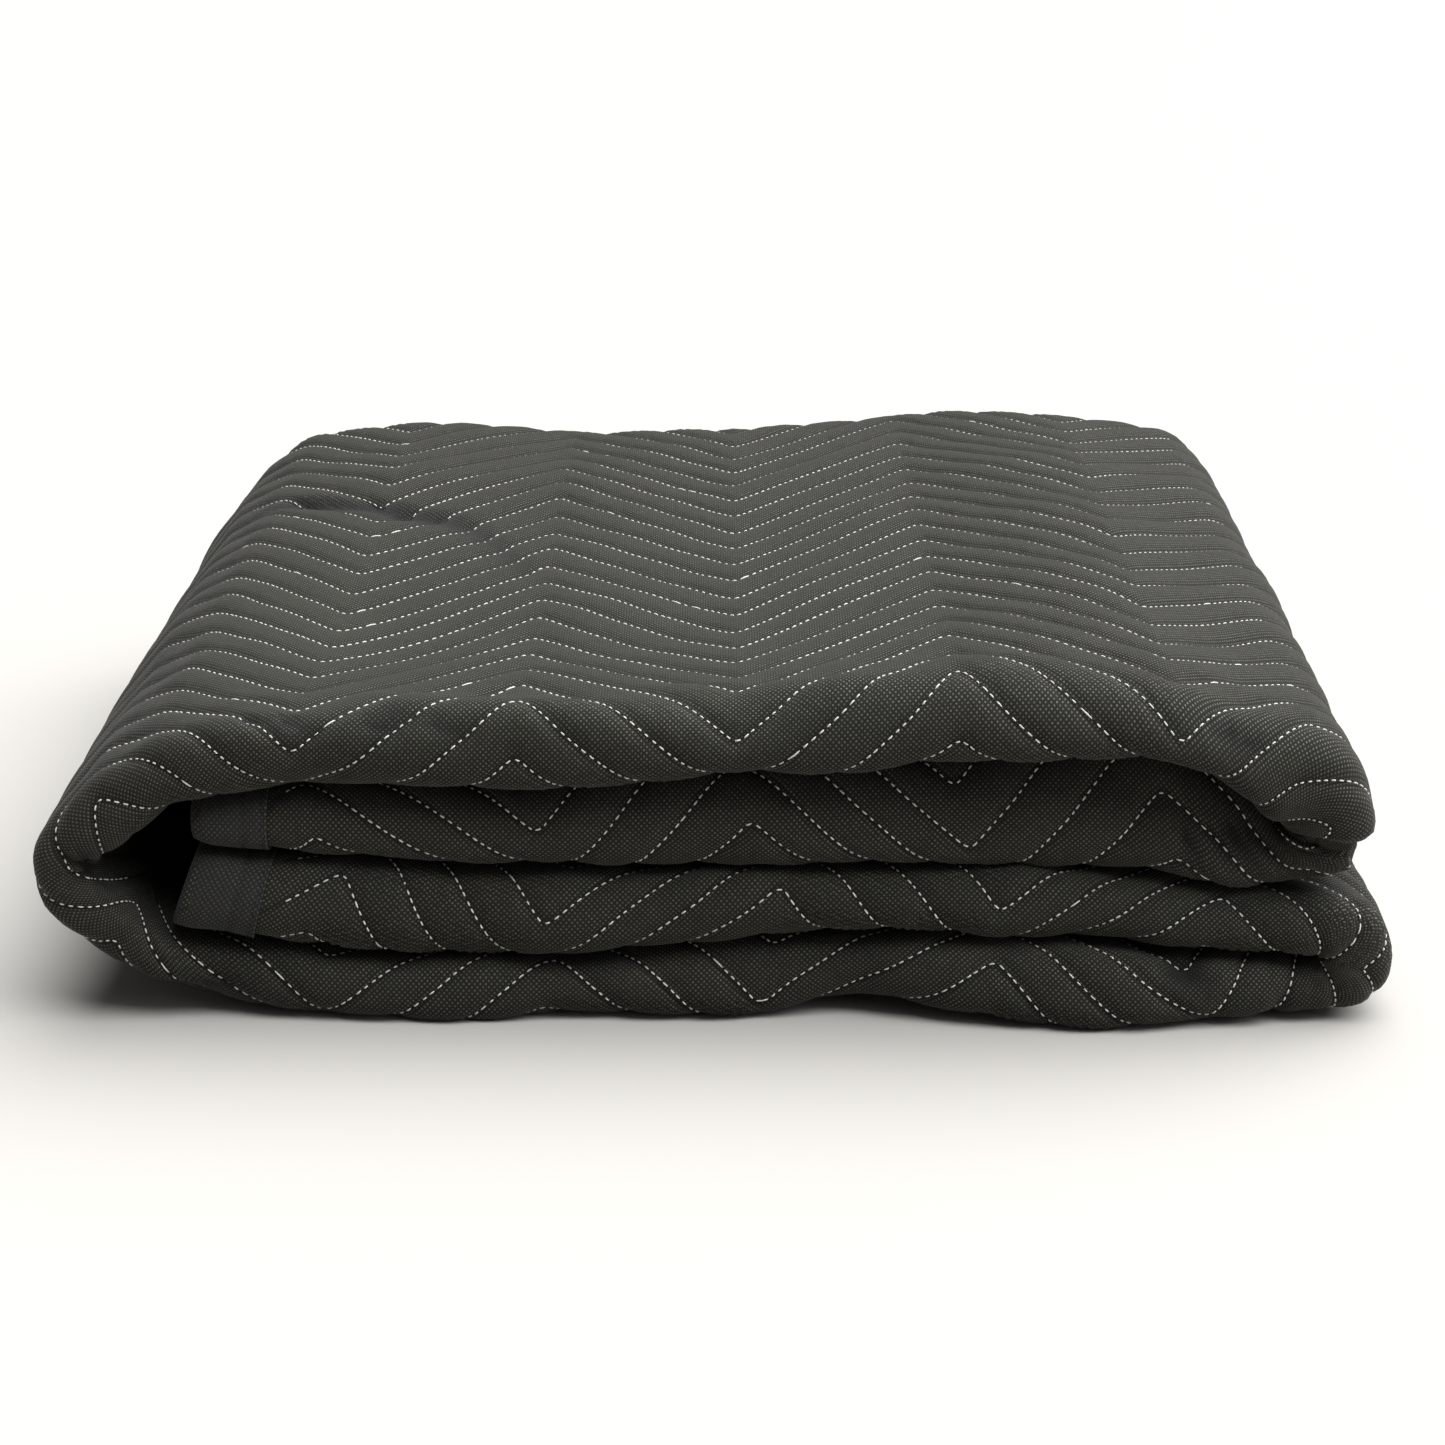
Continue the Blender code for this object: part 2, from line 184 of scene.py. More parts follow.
# the turns and the wrap, as outer x, outer z, inner x, inner z
upperTurn = [
    (0.2180, 0.0508, 0.2135, 0.0735), (0.2430, 0.0545, 0.2142, 0.0733),
    (0.2515, 0.0635, 0.2146, 0.0740), (0.2515, 0.0760, 0.2147, 0.0748),
    (0.2475, 0.0900, 0.2144, 0.0756), (0.2395, 0.1020, 0.2138, 0.0765),
    (0.2250, 0.1114, 0.2100, 0.0790),
]
wrap = [
    (-0.2085, 0.1125, -0.2010, 0.0868), (-0.2315, 0.0985, -0.2150, 0.0740),
    (-0.2480, 0.0820, -0.2262, 0.0655), (-0.2560, 0.0690, -0.2320, 0.0612),
    (-0.2575, 0.0590, -0.2335, 0.0580), (-0.2535, 0.0455, -0.2300, 0.0535),
    (-0.2405, 0.0315, -0.2232, 0.0480), (-0.2205, 0.0175, -0.2160, 0.0400),
    (-0.1990, 0.0070, -0.2060, 0.0318), (-0.1800, 0.0015, -0.1850, 0.0285),
]
lowerTurn = [
    (0.2340, 0.0008, 0.2290, 0.0229), (0.2500, 0.0040, 0.2304, 0.0230),
    (0.2595, 0.0120, 0.2308, 0.0234), (0.2620, 0.0230, 0.2310, 0.0238),
    (0.2600, 0.0338, 0.2308, 0.0242), (0.2550, 0.0430, 0.2304, 0.0246),
    (0.2340, 0.0473, 0.2290, 0.0248),
]
ends = {"lean": -0.0733, "upper": -0.1955, "lowerOuter": -0.1945, "lowerInner": -0.2055}


def height(x, column):
    return curve(x, levels[:, 0], levels[:, columns[column]])


def flatRib(band, x):
    half = stack["gap"] / 2
    outer, inner = {
        1: (height(x, "first"), height(x, "second") + half),
        2: (height(x, "third") + half, height(x, "second") - half),
        3: (height(x, "third") - half, height(x, "fourth") + half),
        4: (0 * x, height(x, "fourth") - half),
    }[band]
    return np.stack([x, outer, x, inner], -1)


def leaningRibs(band, outerX, innerX):
    ribs = flatRib(band, outerX)
    ribs[:, 2:] = flatRib(band, innerX)[:, 2:]
    return ribs


def flatRun(band, start, stop):
    return flatRib(band, np.linspace(start, stop, max(int(abs(stop - start) / 0.006), 2)))


def soften(values, sigma):
    # evens out a line of evenly sampled points
    reach = int(4 * sigma / stack["sample"])
    kernel = np.exp(-0.5 * (np.arange(-reach, reach + 1) * stack["sample"] / sigma) ** 2)
    kernel /= kernel.sum()
    first = 2 * values[:1] - values[reach:0:-1]
    last = 2 * values[-1:] - values[-2:-reach - 2:-1]
    padded = np.concatenate([first, values, last])
    return np.stack([np.convolve(padded[:, k], kernel, "valid") for k in range(values.shape[1])], -1)


def walkStrip():
    # every rib from the upper cut end, by band 2, 1, the wrap, 4 and 3, to the lower cut end
    def spread(start, stop):
        return ends[start] + (ends[stop] - ends[start]) * np.linspace(0.0, 1.0, 20)

    upperX = spread("upper", "lean")
    parts = [
        leaningRibs(2, upperX, upperX),
        flatRun(2, ends["lean"] + 0.004, 0.200),
        np.array(upperTurn),
        flatRun(1, 0.198, -0.180),
        np.array(wrap),
        flatRun(4, -0.165, 0.215),
        np.array(lowerTurn),
        flatRun(3, 0.215, ends["lean"] + 0.004),
        leaningRibs(3, spread("lean", "lowerOuter"), spread("lean", "lowerInner")),
    ]
    stretch = np.concatenate([np.linspace(n, n + 0.999, len(part)) for n, part in enumerate(parts)])
    ribs = np.concatenate(parts)
    run = runAlong(ribs[:, 0], ribs[:, 1])
    even = np.arange(0.0, run[-1], stack["sample"])
    dense = np.stack([np.interp(even, run, ribs[:, k]) for k in range(4)], -1)
    place = np.interp(even, run, stretch)
    rise = {k: height(dense[:, k], "back") / height(dense[:, k], "first") for k in (0, 2)}
    # the turns bulge further out behind than in front, the upper one most
    isUpper = place < 4.5
    reach, turnX = np.where(isUpper, 0.012, 0.004), np.where(isUpper, 0.214, 0.230)
    behind = dense.copy()
    for k in (0, 2):
        x = dense[:, k]
        behind[:, k] += np.where(x > 0, reach * np.minimum(np.maximum(x, 0) / turnX, 1.0) ** 4,
                                 -0.003 * np.minimum(np.maximum(-x, 0) / 0.18, 1.0) ** 4)
        behind[:, k + 1] *= rise[k]
    dense, behind = soften(dense, stack["softness"]), soften(behind, stack["softness"])
    length = runAlong(dense[:, 0], dense[:, 1])
    return length, place, dense, behind


stripLength, stripPlace, frontRibs, backRibs = walkStrip()
wholeLength = stripLength[-1]
print("strip", round(wholeLength, 4))

# the quilting: lines an inch apart that zigzag across the blanket
quilting = {
    "pitch": 0.0252,
    "half": 0.0828,  # half of one zigzag, measured along the blanket
    "swing": 0.0415,
    "valleyX": 0.0095,  # a valley on the top band, before the stack is centred
    "valleyFromNose": 0.0256,
    "pinchTop": 0.0022,
    "pinchFold": 0.0016,
}


def placeAt(s):
    # place along the strip, in whole parts of its walk: 0 to 1 is band 2's bound end, 8 to 9 band 3's
    return np.interp(s, stripLength, stripPlace)


topSpan = (stripPlace >= 3.1) & (stripPlace < 3.9)
valleyLength = np.interp(-quilting["valleyX"], -frontRibs[topSpan, 0], stripLength[topSpan])
lineStart = quilting["valleyFromNose"] + quilting["swing"]

# where folding has shifted the pattern along the blanket, by place along the strip
patternSlip = [(0.0, 0.0191), (1.0, 0.0202), (1.5, 0.0212), (1.9, 0.0241), (2.5, 0.0118), (3.0, 0.0),
               (4.0, 0.0), (4.3, -0.001), (5.0, -0.0116), (5.5, -0.0150), (5.9, -0.0150), (6.5, -0.0171),
               (7.1, -0.0199), (7.4, -0.0211), (7.7, -0.0236), (8.0, -0.0281), (8.4, -0.0241), (9.0, -0.0211)]
# and across it, in millimetres: place along the strip, shift on the front fold, shift beyond it
rowDrift = [(0.0, 2.0, 0.0), (0.37, 2.6, 0.0), (1.01, -6.0, 0.0), (1.31, -2.0, 0.0), (1.61, 8.0, 0.0),
            (1.88, 13.0, 0.0), (2.2, 4.0, 0.0), (2.55, -7.0, -2.8), (2.8, -8.0, -2.8), (3.06, -4.5, -2.8),
            (3.28, -12.5, -2.8), (3.50, -1.5, 3.2), (3.72, -9.0, -5.0), (3.94, 1.5, -2.8), (4.15, 0.0, -11.0),
            (4.45, 0.0, -9.0), (4.73, 0.0, -3.0), (5.05, 5.0, 0.0), (5.26, 7.0, 0.0), (5.49, 3.0, 0.0),
            (5.7, 14.0, 0.0), (5.92, 4.0, 0.0), (6.5, 0.0, 0.0), (7.08, 8.0, 0.0), (7.37, -2.4, 0.0),
            (7.67, 2.5, 0.0), (7.98, -2.4, 0.0), (8.6, 9.0, 0.0), (9.0, 9.0, 0.0)]
# how much the pattern leans on a front fold, as shift along the blanket for each step across it
patternLean = [(0.0, -0.2), (1.9, -0.25), (2.3, 0.0), (4.9, 0.0), (5.05, 0.1), (5.5, 0.2), (5.75, 0.2),
               (6.0, -0.6), (6.3, 0.0), (6.9, 0.2), (7.1, 0.35), (9.0, 0.35)]


def zigzag(s):
    place = placeAt(s)
    slip = np.interp(place, *zip(*patternSlip))
    turns = np.abs((s + slip - valleyLength) / quilting["half"]) % 2
    climb = np.where(turns <= 1, turns, 2 - turns)
    corner = 0.035  # the needle rounds each corner a little
    climb = np.where(climb < corner, corner / 2 + climb ** 2 / (2 * corner), climb)
    far = 1 - climb
    climb = np.where(far < corner, 1 - (corner / 2 + far ** 2 / (2 * corner)), climb)
    return quilting["swing"] * (2 * climb - 1)


def across(s, row):
    # a stitch line's place across the blanket, from its row on the flat pattern
    place = placeAt(s)
    where, onFold, beyond = zip(*rowDrift)
    lean = np.interp(place, *zip(*patternLean))
    t = row + zigzag(s)
    for _ in range(8):
        t = row + zigzag(s + lean * np.clip(t, -0.03, 0.03))
    past = step(t, 0.012, 0.062)
    return t + (curve(place, where, onFold) * (1 - past) + curve(place, where, beyond) * past) / 1000


def ribsAt(s):
    front = np.stack([np.interp(s, stripLength, frontRibs[:, k]) for k in range(4)], -1)
    back = np.stack([np.interp(s, stripLength, backRibs[:, k]) for k in range(4)], -1)
    return front, back


def ribSize(ribs):
    return np.hypot(ribs[..., 0] - ribs[..., 2], ribs[..., 1] - ribs[..., 3])


bound = 0.029  # from here inward the cloth is free of its binding

# the roll of the front folds: walked at an even pace, nearly round on the upper bands and
# squarer on the one that lies on the floor
rollPowers = (0.86, 0.64)
rollSquare = [(2.0, 0.0), (2.3, 0.6), (2.8, 0.6), (3.05, 0.0), (3.95, 0.0), (4.25, 0.9), (6.9, 0.9),
              (7.1, 0.0)]
rollAspects = np.linspace(0.3, 1.8, 16)
rollSteps = np.linspace(0.0, 1.0, 41)


def rollTable(power):
    angles, lengths = [], []
    turn = np.linspace(0.0, math.pi / 2, 400)
    for aspect in rollAspects:
        out = np.maximum(np.cos(turn), 0) ** power
        up = aspect * np.sin(turn) ** power
        run = runAlong(out, up)
        angles.append(np.interp(rollSteps * run[-1], run, turn))
        lengths.append(run[-1])
    return np.array(angles), np.array(lengths)


rollTables = [rollTable(power) for power in rollPowers]


def squareness(s):
    return np.interp(placeAt(s), *zip(*rollSquare))


def rollLength(s, aspect):
    lengths = [np.interp(aspect, rollAspects, table[1]) for table in rollTables]
    return lengths[0] + (lengths[1] - lengths[0]) * squareness(s)


def rollPoint(s, aspect, share):
    # how far out and how far up on the roll, each from 0 to 1
    a = np.clip((aspect - rollAspects[0]) / (rollAspects[1] - rollAspects[0]), 0, len(rollAspects) - 1.001)
    b = np.clip(share, 0, 1) * (len(rollSteps) - 1.001)
    i, j = a.astype(int), b.astype(int)
    fa, fb = a - i, b - j
    points = []
    for power, (angles, _) in zip(rollPowers, rollTables):
        low = angles[i, j] * (1 - fb) + angles[i, j + 1] * fb
        high = angles[i + 1, j] * (1 - fb) + angles[i + 1, j + 1] * fb
        angle = low * (1 - fa) + high * fa
        points.append((np.maximum(np.cos(angle), 0) ** power, np.sin(angle) ** power))
    w = squareness(s)
    return [one + (two - one) * w for one, two in zip(*points)]


def freeOfEnds(s, over):
    # 0 in the bindings, growing to 1 over a length beside them
    return np.clip((np.minimum(s, wholeLength - s) - bound) / over, 0.0, 1.0)


def clothAt(s, size):
    # thickness of the cloth, thinner where the binding holds it, and the room for the tape
    share = freeOfEnds(s, 0.010)
    full = np.minimum(stack["thick"], stack["thickestShare"] * size)
    return stack["boundThick"] + (full - stack["boundThick"]) * share, stack["boundInset"] * (1 - share)


def foldSizes(s):
    # lengths round the nose, of a flat, round the fold behind, and out to the long edge
    front, back = ribsAt(s)
    thickBack, insetBack = clothAt(s, ribSize(back))
    tall = ribSize(front) / 2 - clothAt(s, ribSize(front))[1]
    quarter = stack["noseDepth"] * rollLength(s, tall / stack["noseDepth"])
    small = (ribSize(back) / 2 - insetBack - thickBack / 2) / 3
    flat = backY - thickBack / 2 - small - frontY - stack["noseDepth"]
    turn = math.pi * (small + thickBack / 2)
    return quarter, flat, turn, quarter + 2 * flat + turn - stack["edgeToNose"] + stack["noseDepth"]


def foldedPoint(s, t, offset):
    # a point of the folded cloth; offset is the distance outward from the middle of the cloth
    front, back = ribsAt(s)
    nose = stack["noseDepth"]
    side = np.where(t >= 0, 1.0, -1.0)
    distance = np.abs(t)
    frontSize = ribSize(front)
    backSize = ribSize(back)
    (thick, inset), (thickBack, insetBack) = clothAt(s, frontSize), clothAt(s, backSize)
    tall = frontSize / 2 - inset - thick / 2
    tallBack = backSize / 2 - insetBack - thickBack / 2
    quarter, flat, turn = foldSizes(s)[:3]
    small = tallBack / 3
    foldY = backY - thickBack / 2 - small
    startY = frontY + nose
    out, up = rollPoint(s, (tall + thick / 2) / nose, distance / quarter)
    noseY = startY - (nose - thick / 2 + offset) * out
    noseUp = (tall + offset) * up / frontSize
    flatY = startY + distance - quarter
    far = np.clip((flatY - startY) / flat, 0, 1)
    size = frontSize + (backSize - frontSize) * far
    flatUp = (tall + (tallBack - tall) * far + offset) / size
    bend = math.pi * np.clip((distance - quarter - flat) / turn, 0, 1)
    foldPointY = foldY + (small + offset) * np.sin(bend)
    foldUp = (tallBack - small + (small + offset) * np.cos(bend)) / backSize
    returnY = foldY - (distance - quarter - flat - turn)
    nearer = np.clip((returnY - startY) / flat, 0, 1)
    sizeReturn = frontSize + (backSize - frontSize) * nearer
    returnUp = ((tall + (tallBack - tall) * nearer) / 3 - offset) / sizeReturn
    zone = [distance < quarter, distance < quarter + flat, distance < quarter + flat + turn]
    y = np.select(zone, [noseY, flatY, foldPointY], returnY)
    share = 0.5 + side * np.select(zone, [noseUp, flatUp, foldUp], returnUp)
    depth = np.clip((y - frontY) / stack["depth"], 0, 1)
    rib = front + (back - front) * depth[..., None]
    return formTop(s, rib, y, share)


# the top is dished: how far it lies over a straight line from front to back, in millimetres
# (below it where negative), for each y (rows) and x (columns)
dish = {
    "x": (-0.215, -0.190, -0.152, -0.0735, 0.0095, 0.0925, 0.179, 0.214),
    "y": (-0.2316, -0.216, -0.166, -0.116, -0.066, -0.016, 0.034, 0.084, 0.134, 0.184, 0.2316),
    "rise": (
        (0.0, 0.0, 0.0, 0.0, 0.0, 0.0, 4.0, 2.0),
        (0.0, 0.0, 0.0, 0.0, 0.0, 0.0, 4.5, 3.0),
        (0.0, -1.0, -4.0, -4.0, -4.0, -1.6, 4.0, 3.0),
        (0.0, -2.0, -8.4, -6.6, -7.6, -3.0, 3.5, 3.0),
        (0.0, -3.0, -11.6, -5.2, -7.2, -3.0, 3.5, 3.0),
        (0.0, -2.0, -8.2, -5.0, -6.6, -3.0, 3.5, 3.0),
        (0.0, -1.5, -6.6, -3.0, -5.8, -2.0, 3.0, 2.5),
        (0.0, -1.0, -3.6, 0.8, -4.0, -1.2, 3.0, 2.0),
        (0.0, 0.0, 0.0, 1.8, -2.0, -0.6, 2.0, 1.5),
        (0.0, 0.0, 0.2, 1.0, -0.6, 0.0, -0.6, 0.0),
        (0.0, 0.0, 0.0, 0.0, 0.0, 0.0, -1.8, -1.2),
    ),
}


def topRise(x, y):
    shape = np.broadcast(x, y).shape
    x, y = np.broadcast_to(x, shape).ravel(), np.broadcast_to(y, shape).ravel()
    rows = np.array([curve(x, dish["x"], row) for row in dish["rise"]])
    ys = np.array(dish["y"])
    slope = np.gradient(rows, ys, axis=0)
    rise = smoothBetween(np.clip(y, ys[0], ys[-1]), ys, rows, slope, (np.arange(len(y)),))
    return (rise / 1000).reshape(shape)


# how far each band's front fold stands back from the foremost one, in millimetres, by place along x
recess = {
    1: ((-0.20, 0.0), (0.15, 0.0), (0.21, 0.0)),
    2: ((-0.20, 8.0), (0.00, 9.0), (0.08, 11.0), (0.15, 13.0), (0.20, 11.0)),
    3: ((-0.20, 2.0), (-0.10, 3.0), (0.10, 3.0), (0.16, 3.0), (0.22, 0.0)),
    4: ((-0.18, 3.0), (-0.12, 0.0), (0.00, 2.0), (0.058, 6.0), (0.085, 1.0), (0.118, -6.0), (0.163, -9.0),
        (0.207, -4.0), (0.23, 0.0)),
}
# how far each front fold leans back at its top: backward for each step up, by place along the strip
foldLean = [(0.0, 0.2), (1.9, 0.35), (2.3, 0.2), (2.9, 0.3), (3.06, 0.5), (3.28, 0.5), (3.5, 0.35), (3.72, 0.2),
            (3.94, 0.1), (4.3, 0.0), (4.9, 0.1), (5.1, 0.25), (5.9, 0.25), (6.3, 0.1), (7.0, 0.2), (9.0, 0.2)]
archOnFloor = {"height": 0.0065, "x": 0.062, "width": 0.032}  # the bottom fold lifts off the floor here


def recessLine():
    x = frontRibs[:, 0]
    lines = {band: np.interp(x, *zip(*rows)) for band, rows in recess.items()}
    lines[0] = 0.0  # the wrap
    line = lines[2]
    for band, start, stop in ((1, 1.98, 2.35), (0, 3.9, 4.2), (4, 4.7, 5.05), (3, 6.1, 6.9)):
        w = step(stripPlace, start, stop)
        line = line * (1 - w) + lines[band] * w
    return line / 1000


recessAlong = recessLine()


def formTop(s, rib, y, share):
    # the rib carries the point; soft rises and dips move all layers under them as well
    x = rib[..., 2] + (rib[..., 0] - rib[..., 2]) * share
    z = rib[..., 3] + (rib[..., 1] - rib[..., 3]) * share
    place = placeAt(s)
    onTop = step(place, 2.4, 2.9) * (1 - step(place, 4.0, 4.3))
    z = z + topRise(x, y) * share * onTop
    atFront = 1 - step(y, frontY, frontY + 0.07)
    onBottom = step(place, 5.0, 5.1) * (1 - step(place, 5.9, 6.0))
    arch = archOnFloor["height"] * bell(x, archOnFloor["x"], archOnFloor["width"])
    z = z + arch * share * onBottom * atFront
    lean = np.interp(place, *zip(*foldLean)) * (1 - step(y, frontY + 0.004, frontY + 0.045))
    y = y + lean * (z - (rib[..., 1] + rib[..., 3]) / 2)
    y = y + np.interp(s, stripLength, recessAlong) * atFront
    return np.stack([x + stack["shiftX"], y, np.maximum(z, 0.0)], -1)


# creases and wrinkles, as how far the outer face is pressed in
wrinkles = {
    "uneven": 0.0007,  # the wadding is never even
    "unevenFold": 0.0011,
    "earPinch": 0.0075,  # the pinch at the right, where band 1 rolls over into band 2
    "earGathers": 0.0026,
    "wrapGathers": 0.0018,
    "ledge": 0.0030,
    "ledgeLength": 0.055,
    "tuck": 0.0046,
    "tuckWidth": 0.0042,
    "tuckLine": ((-0.2173, 0.0996), (-0.2089, 0.1016), (-0.185, 0.0956), (-0.1587, 0.0836), (-0.1407, 0.0699),
                 (-0.1293, 0.064), (-0.1131, 0.0507), (-0.0969, 0.0193), (-0.0852, -0.0124), (-0.0728, -0.041)),
    "tuckDeep": (0.0, 0.6, 1.0, 1.0, 1.0, 0.8, 0.6, 0.4, 0.35, 0.0),
}

# single creases on the folds, in millimetres: from s and t to s and t, depth, half width
creases = [
    (897, 17, 885, 10, 2.6, 3.0), (864, 13, 852, 9, 2.8, 3.0), (858, 18, 846, 13, 2.2, 2.6),
    (842, 14, 827, 6, 2.2, 2.8), (912, 20, 900, 15, 2.2, 2.8), (547, 5, 542, 0, 2.8, 2.6),
    (542, 7, 536, 2, 3.0, 2.6), (535, 8, 528, 5, 2.4, 2.4), (376, 4, 379, 10, 3.0, 2.8),
    (393, -4, 403, 5, 3.4, 3.2), (400, -7, 416, 0, 3.0, 3.0), (387, 1, 394, 9, 2.4, 2.6),
    (1110, 7, 1130, -4, 2.2, 3.6), (1481, -11, 1489, -6, 5.0, 6.5), (1515, 13, 1521, 1, 2.2, 2.8),
    (1012, -12, 1008, 1, 3.0, 3.0), (1018, -15, 1025, -3, 2.8, 3.0), (1012, -13, 998, -1, 2.4, 2.8),
    (1021, -16, 1043, -17, 2.4, 2.8), (1010, -11, 1029, -30, 2.6, 2.8),
]


def lengthOnTurn(low, high, z):
    # place along the strip where the outer face of a turn or of the wrap passes a height
    part = (stripPlace >= low) & (stripPlace < high)
    heights = frontRibs[part, 1]
    order = np.argsort(heights)
    return float(np.interp(z, heights[order], stripLength[part][order]))


earLength = lengthOnTurn(2.0, 3.0, 0.0675)
wrapCorner = lengthOnTurn(4.05, 4.95, 0.0585)
ledgeStart = lengthOnTurn(4.05, 4.95, 0.036)


def ripple(s, t, seed, low, high):
    # smooth unevenness: waves of several lengths and directions
    dice = random.Random(seed)
    total = 0.0
    for _ in range(9):
        way = dice.uniform(0, math.pi)
        rate = 2 * math.pi / dice.uniform(low, high)
        total = total + np.sin(rate * (s * math.cos(way) + t * math.sin(way)) + dice.uniform(0, 6.28))
    return total / 3.0


def fan(s, t, atS, atT, count, reach, seed):
    # gathers that run out of one point
    dice = random.Random(seed)
    way = np.arctan2(t - atT, s - atS)
    far = np.hypot(s - atS, t - atT)
    folds = np.sin(count * way + 1.3 * np.sin(2 * way + dice.uniform(0, 6)) + dice.uniform(0, 6))
    return folds * np.exp(-far / reach) * np.clip(far / 0.004, 0, 1)


def nearLine(x, y, line, strengths, width):
    # 1 on a drawn line and 0 away from it
    best = np.zeros(np.shape(x))
    for (a, b), (u, v) in zip(zip(line, line[1:]), zip(strengths, strengths[1:])):
        dx, dy = b[0] - a[0], b[1] - a[1]
        f = np.clip(((x - a[0]) * dx + (y - a[1]) * dy) / (dx * dx + dy * dy), 0, 1)
        far = np.hypot(x - a[0] - f * dx, y - a[1] - f * dy)
        side = ((x - a[0]) * dy - (y - a[1]) * dx) > 0
        spread = np.where(side, width * 2.2, width)
        best = np.maximum(best, np.exp(-(far / spread) ** 2) * (u + (v - u) * f))
    return best


def tuckAt(s, t):
    # the tuck at the back left of the top, 1 along its line
    place = placeAt(s)
    quarter = foldSizes(s)[0]
    topX = np.interp(s, stripLength, frontRibs[:, 0])
    topY = frontY + stack["noseDepth"] + t - quarter
    tuck = nearLine(topX, topY, wrinkles["tuckLine"], wrinkles["tuckDeep"],
                    wrinkles["tuckWidth"])
    return tuck * ((place > 3.0) & (place < 4.4) & (t > quarter))


def creaseAt(s, t):
    deep = 0.0
    for row in creases:
        fromS, fromT, toS, toT, depth, width = [v / 1000 for v in row]
        ds, dt = toS - fromS, toT - fromT
        f = np.clip(((s - fromS) * ds + (t - fromT) * dt) / (ds * ds + dt * dt), 0, 1)
        far = np.hypot(s - fromS - f * ds, t - fromT - f * dt)
        deep = deep + depth * bell(far, 0.0, width) * (1 - 0.6 * f)
    return deep


def pressedIn(s, t):
    onNose = 1 - step(np.abs(t), 0.03, 0.07)
    deep = wrinkles["uneven"] * ripple(s, t, 3, 0.035, 0.12) * (1 - onNose)
    deep = deep + wrinkles["unevenFold"] * ripple(s, t, 5, 0.030, 0.09) * onNose
    # the ear: a sharp pinch with gathers under it
    pinch = bell(s, earLength, np.where(s < earLength, 0.010, 0.0045))
    deep = deep + wrinkles["earPinch"] * pinch * (1 - step(np.abs(t), 0.02, 0.085))
    under = step(earLength + 0.002 - s, 0.0, 0.004)
    deep = deep + wrinkles["earGathers"] * fan(s, t, earLength, 0.0, 11, 0.024, 4) * under
    # the wrap: gathers out of its inner corner, and the ledge under it
    deep = deep + wrinkles["wrapGathers"] * fan(s, t, wrapCorner - 0.006, -0.011, 7, 0.014, 8)
    ledgeEnd = ledgeStart + wrinkles["ledgeLength"]
    ledge = 0.030 - 0.020 * np.clip((s - ledgeStart) / wrinkles["ledgeLength"], 0, 1)
    inReach = step(s, ledgeStart - 0.01, ledgeStart + 0.004) * (1 - step(s, ledgeEnd, ledgeEnd + 0.030))
    deep = deep + inReach * wrinkles["ledge"] * bell(t, ledge, np.where(t > ledge, 0.012, 0.0035))
    deep = deep + wrinkles["tuck"] * tuckAt(s, t) + creaseAt(s, t)
    return deep * freeOfEnds(s, 0.02)


def surfacePoint(s, t, lift=0.0, lines=0.0):
    # outer face with its quilting: deep at each stitch line, full between
    half = clothAt(s, ribSize(ribsAt(s)[0]))[0] / 2
    away = np.abs(lines - np.round(lines)) * quilting["pitch"]
    onFold = 1 - step(np.abs(t), 0.035, 0.075)
    deep = quilting["pinchTop"] + (quilting["pinchFold"] - quilting["pinchTop"]) * onFold
    deep = np.minimum(deep, 0.6 * half)
    puff = deep * np.clip(1 - away / (quilting["pitch"] / 2), 0, 1) ** 3 * freeOfEnds(s, 0.012)
    return foldedPoint(s, t, half - puff - pressedIn(s, t) + lift)


# the cloth: a lattice over the open blanket, fine where it can be seen
lattice = {
    "columnSteps": 6,
    "rowSteps": 4,
    "rowPlaces": (0.0, 0.14, 0.38, 0.68),  # closer together beside a stitch line
    "slidingHalf": 0.555,  # rows follow the zigzag up to here, beyond the fold behind
    "hiddenRows": 10,
    "foldMargin": 0.012,  # how far the medium mesh goes on past the fold behind
}
# where the outer face can be seen, as places along the strip, and where the inner face bends
shown = ((2.0, 5.0), (6.0, 7.0))
bends = ((2.0, 3.0), (4.0, 5.0), (6.0, 7.0))


def onTopFace(place, margin):
    # all of the top and the wrap, and the turn below
    (topStart, topStop), (turnStart, turnStop) = shown
    return topStart <= place <= topStop + margin or turnStart - margin <= place <= turnStop + margin


def latticeColumns():
    base = quilting["half"] / 4
    start = valleyLength % base
    places = [0.0] + [v for v in np.arange(start, wholeLength, base) if 0.004 < v < wholeLength - 0.004]
    places.append(wholeLength)
    fine = []
    for a, b in zip(places, places[1:]):
        fine += list(np.linspace(a, b, lattice["columnSteps"], endpoint=False))
    return np.array(fine + [wholeLength])


def latticeRows():
    # flat places across the blanket; whole numbers of half pitches are lines and the middles between
    half = quilting["pitch"] / 2
    low = math.ceil((-lattice["slidingHalf"] - lineStart) / half)
    high = math.floor((lattice["slidingHalf"] - lineStart) / half)
    fine = []
    for k in range(low, high):
        near = lattice["rowPlaces"] if k % 2 == 0 else [0.0] + [1 - v for v in lattice["rowPlaces"][:0:-1]]
        fine += [lineStart + (k + v) * half for v in near]
    fine.append(lineStart + high * half)
    count = lattice["hiddenRows"] * lattice["rowSteps"]
    before = np.linspace(-1.0, 0.0, count, endpoint=False) + fine[0]
    after = np.linspace(0.0, 1.0, count + 1)[1:] + fine[-1]
    return np.concatenate([before, fine, after]), fine[0], fine[-1]


columnPlaces = latticeColumns()
rowPlaces, rowLow, rowHigh = latticeRows()


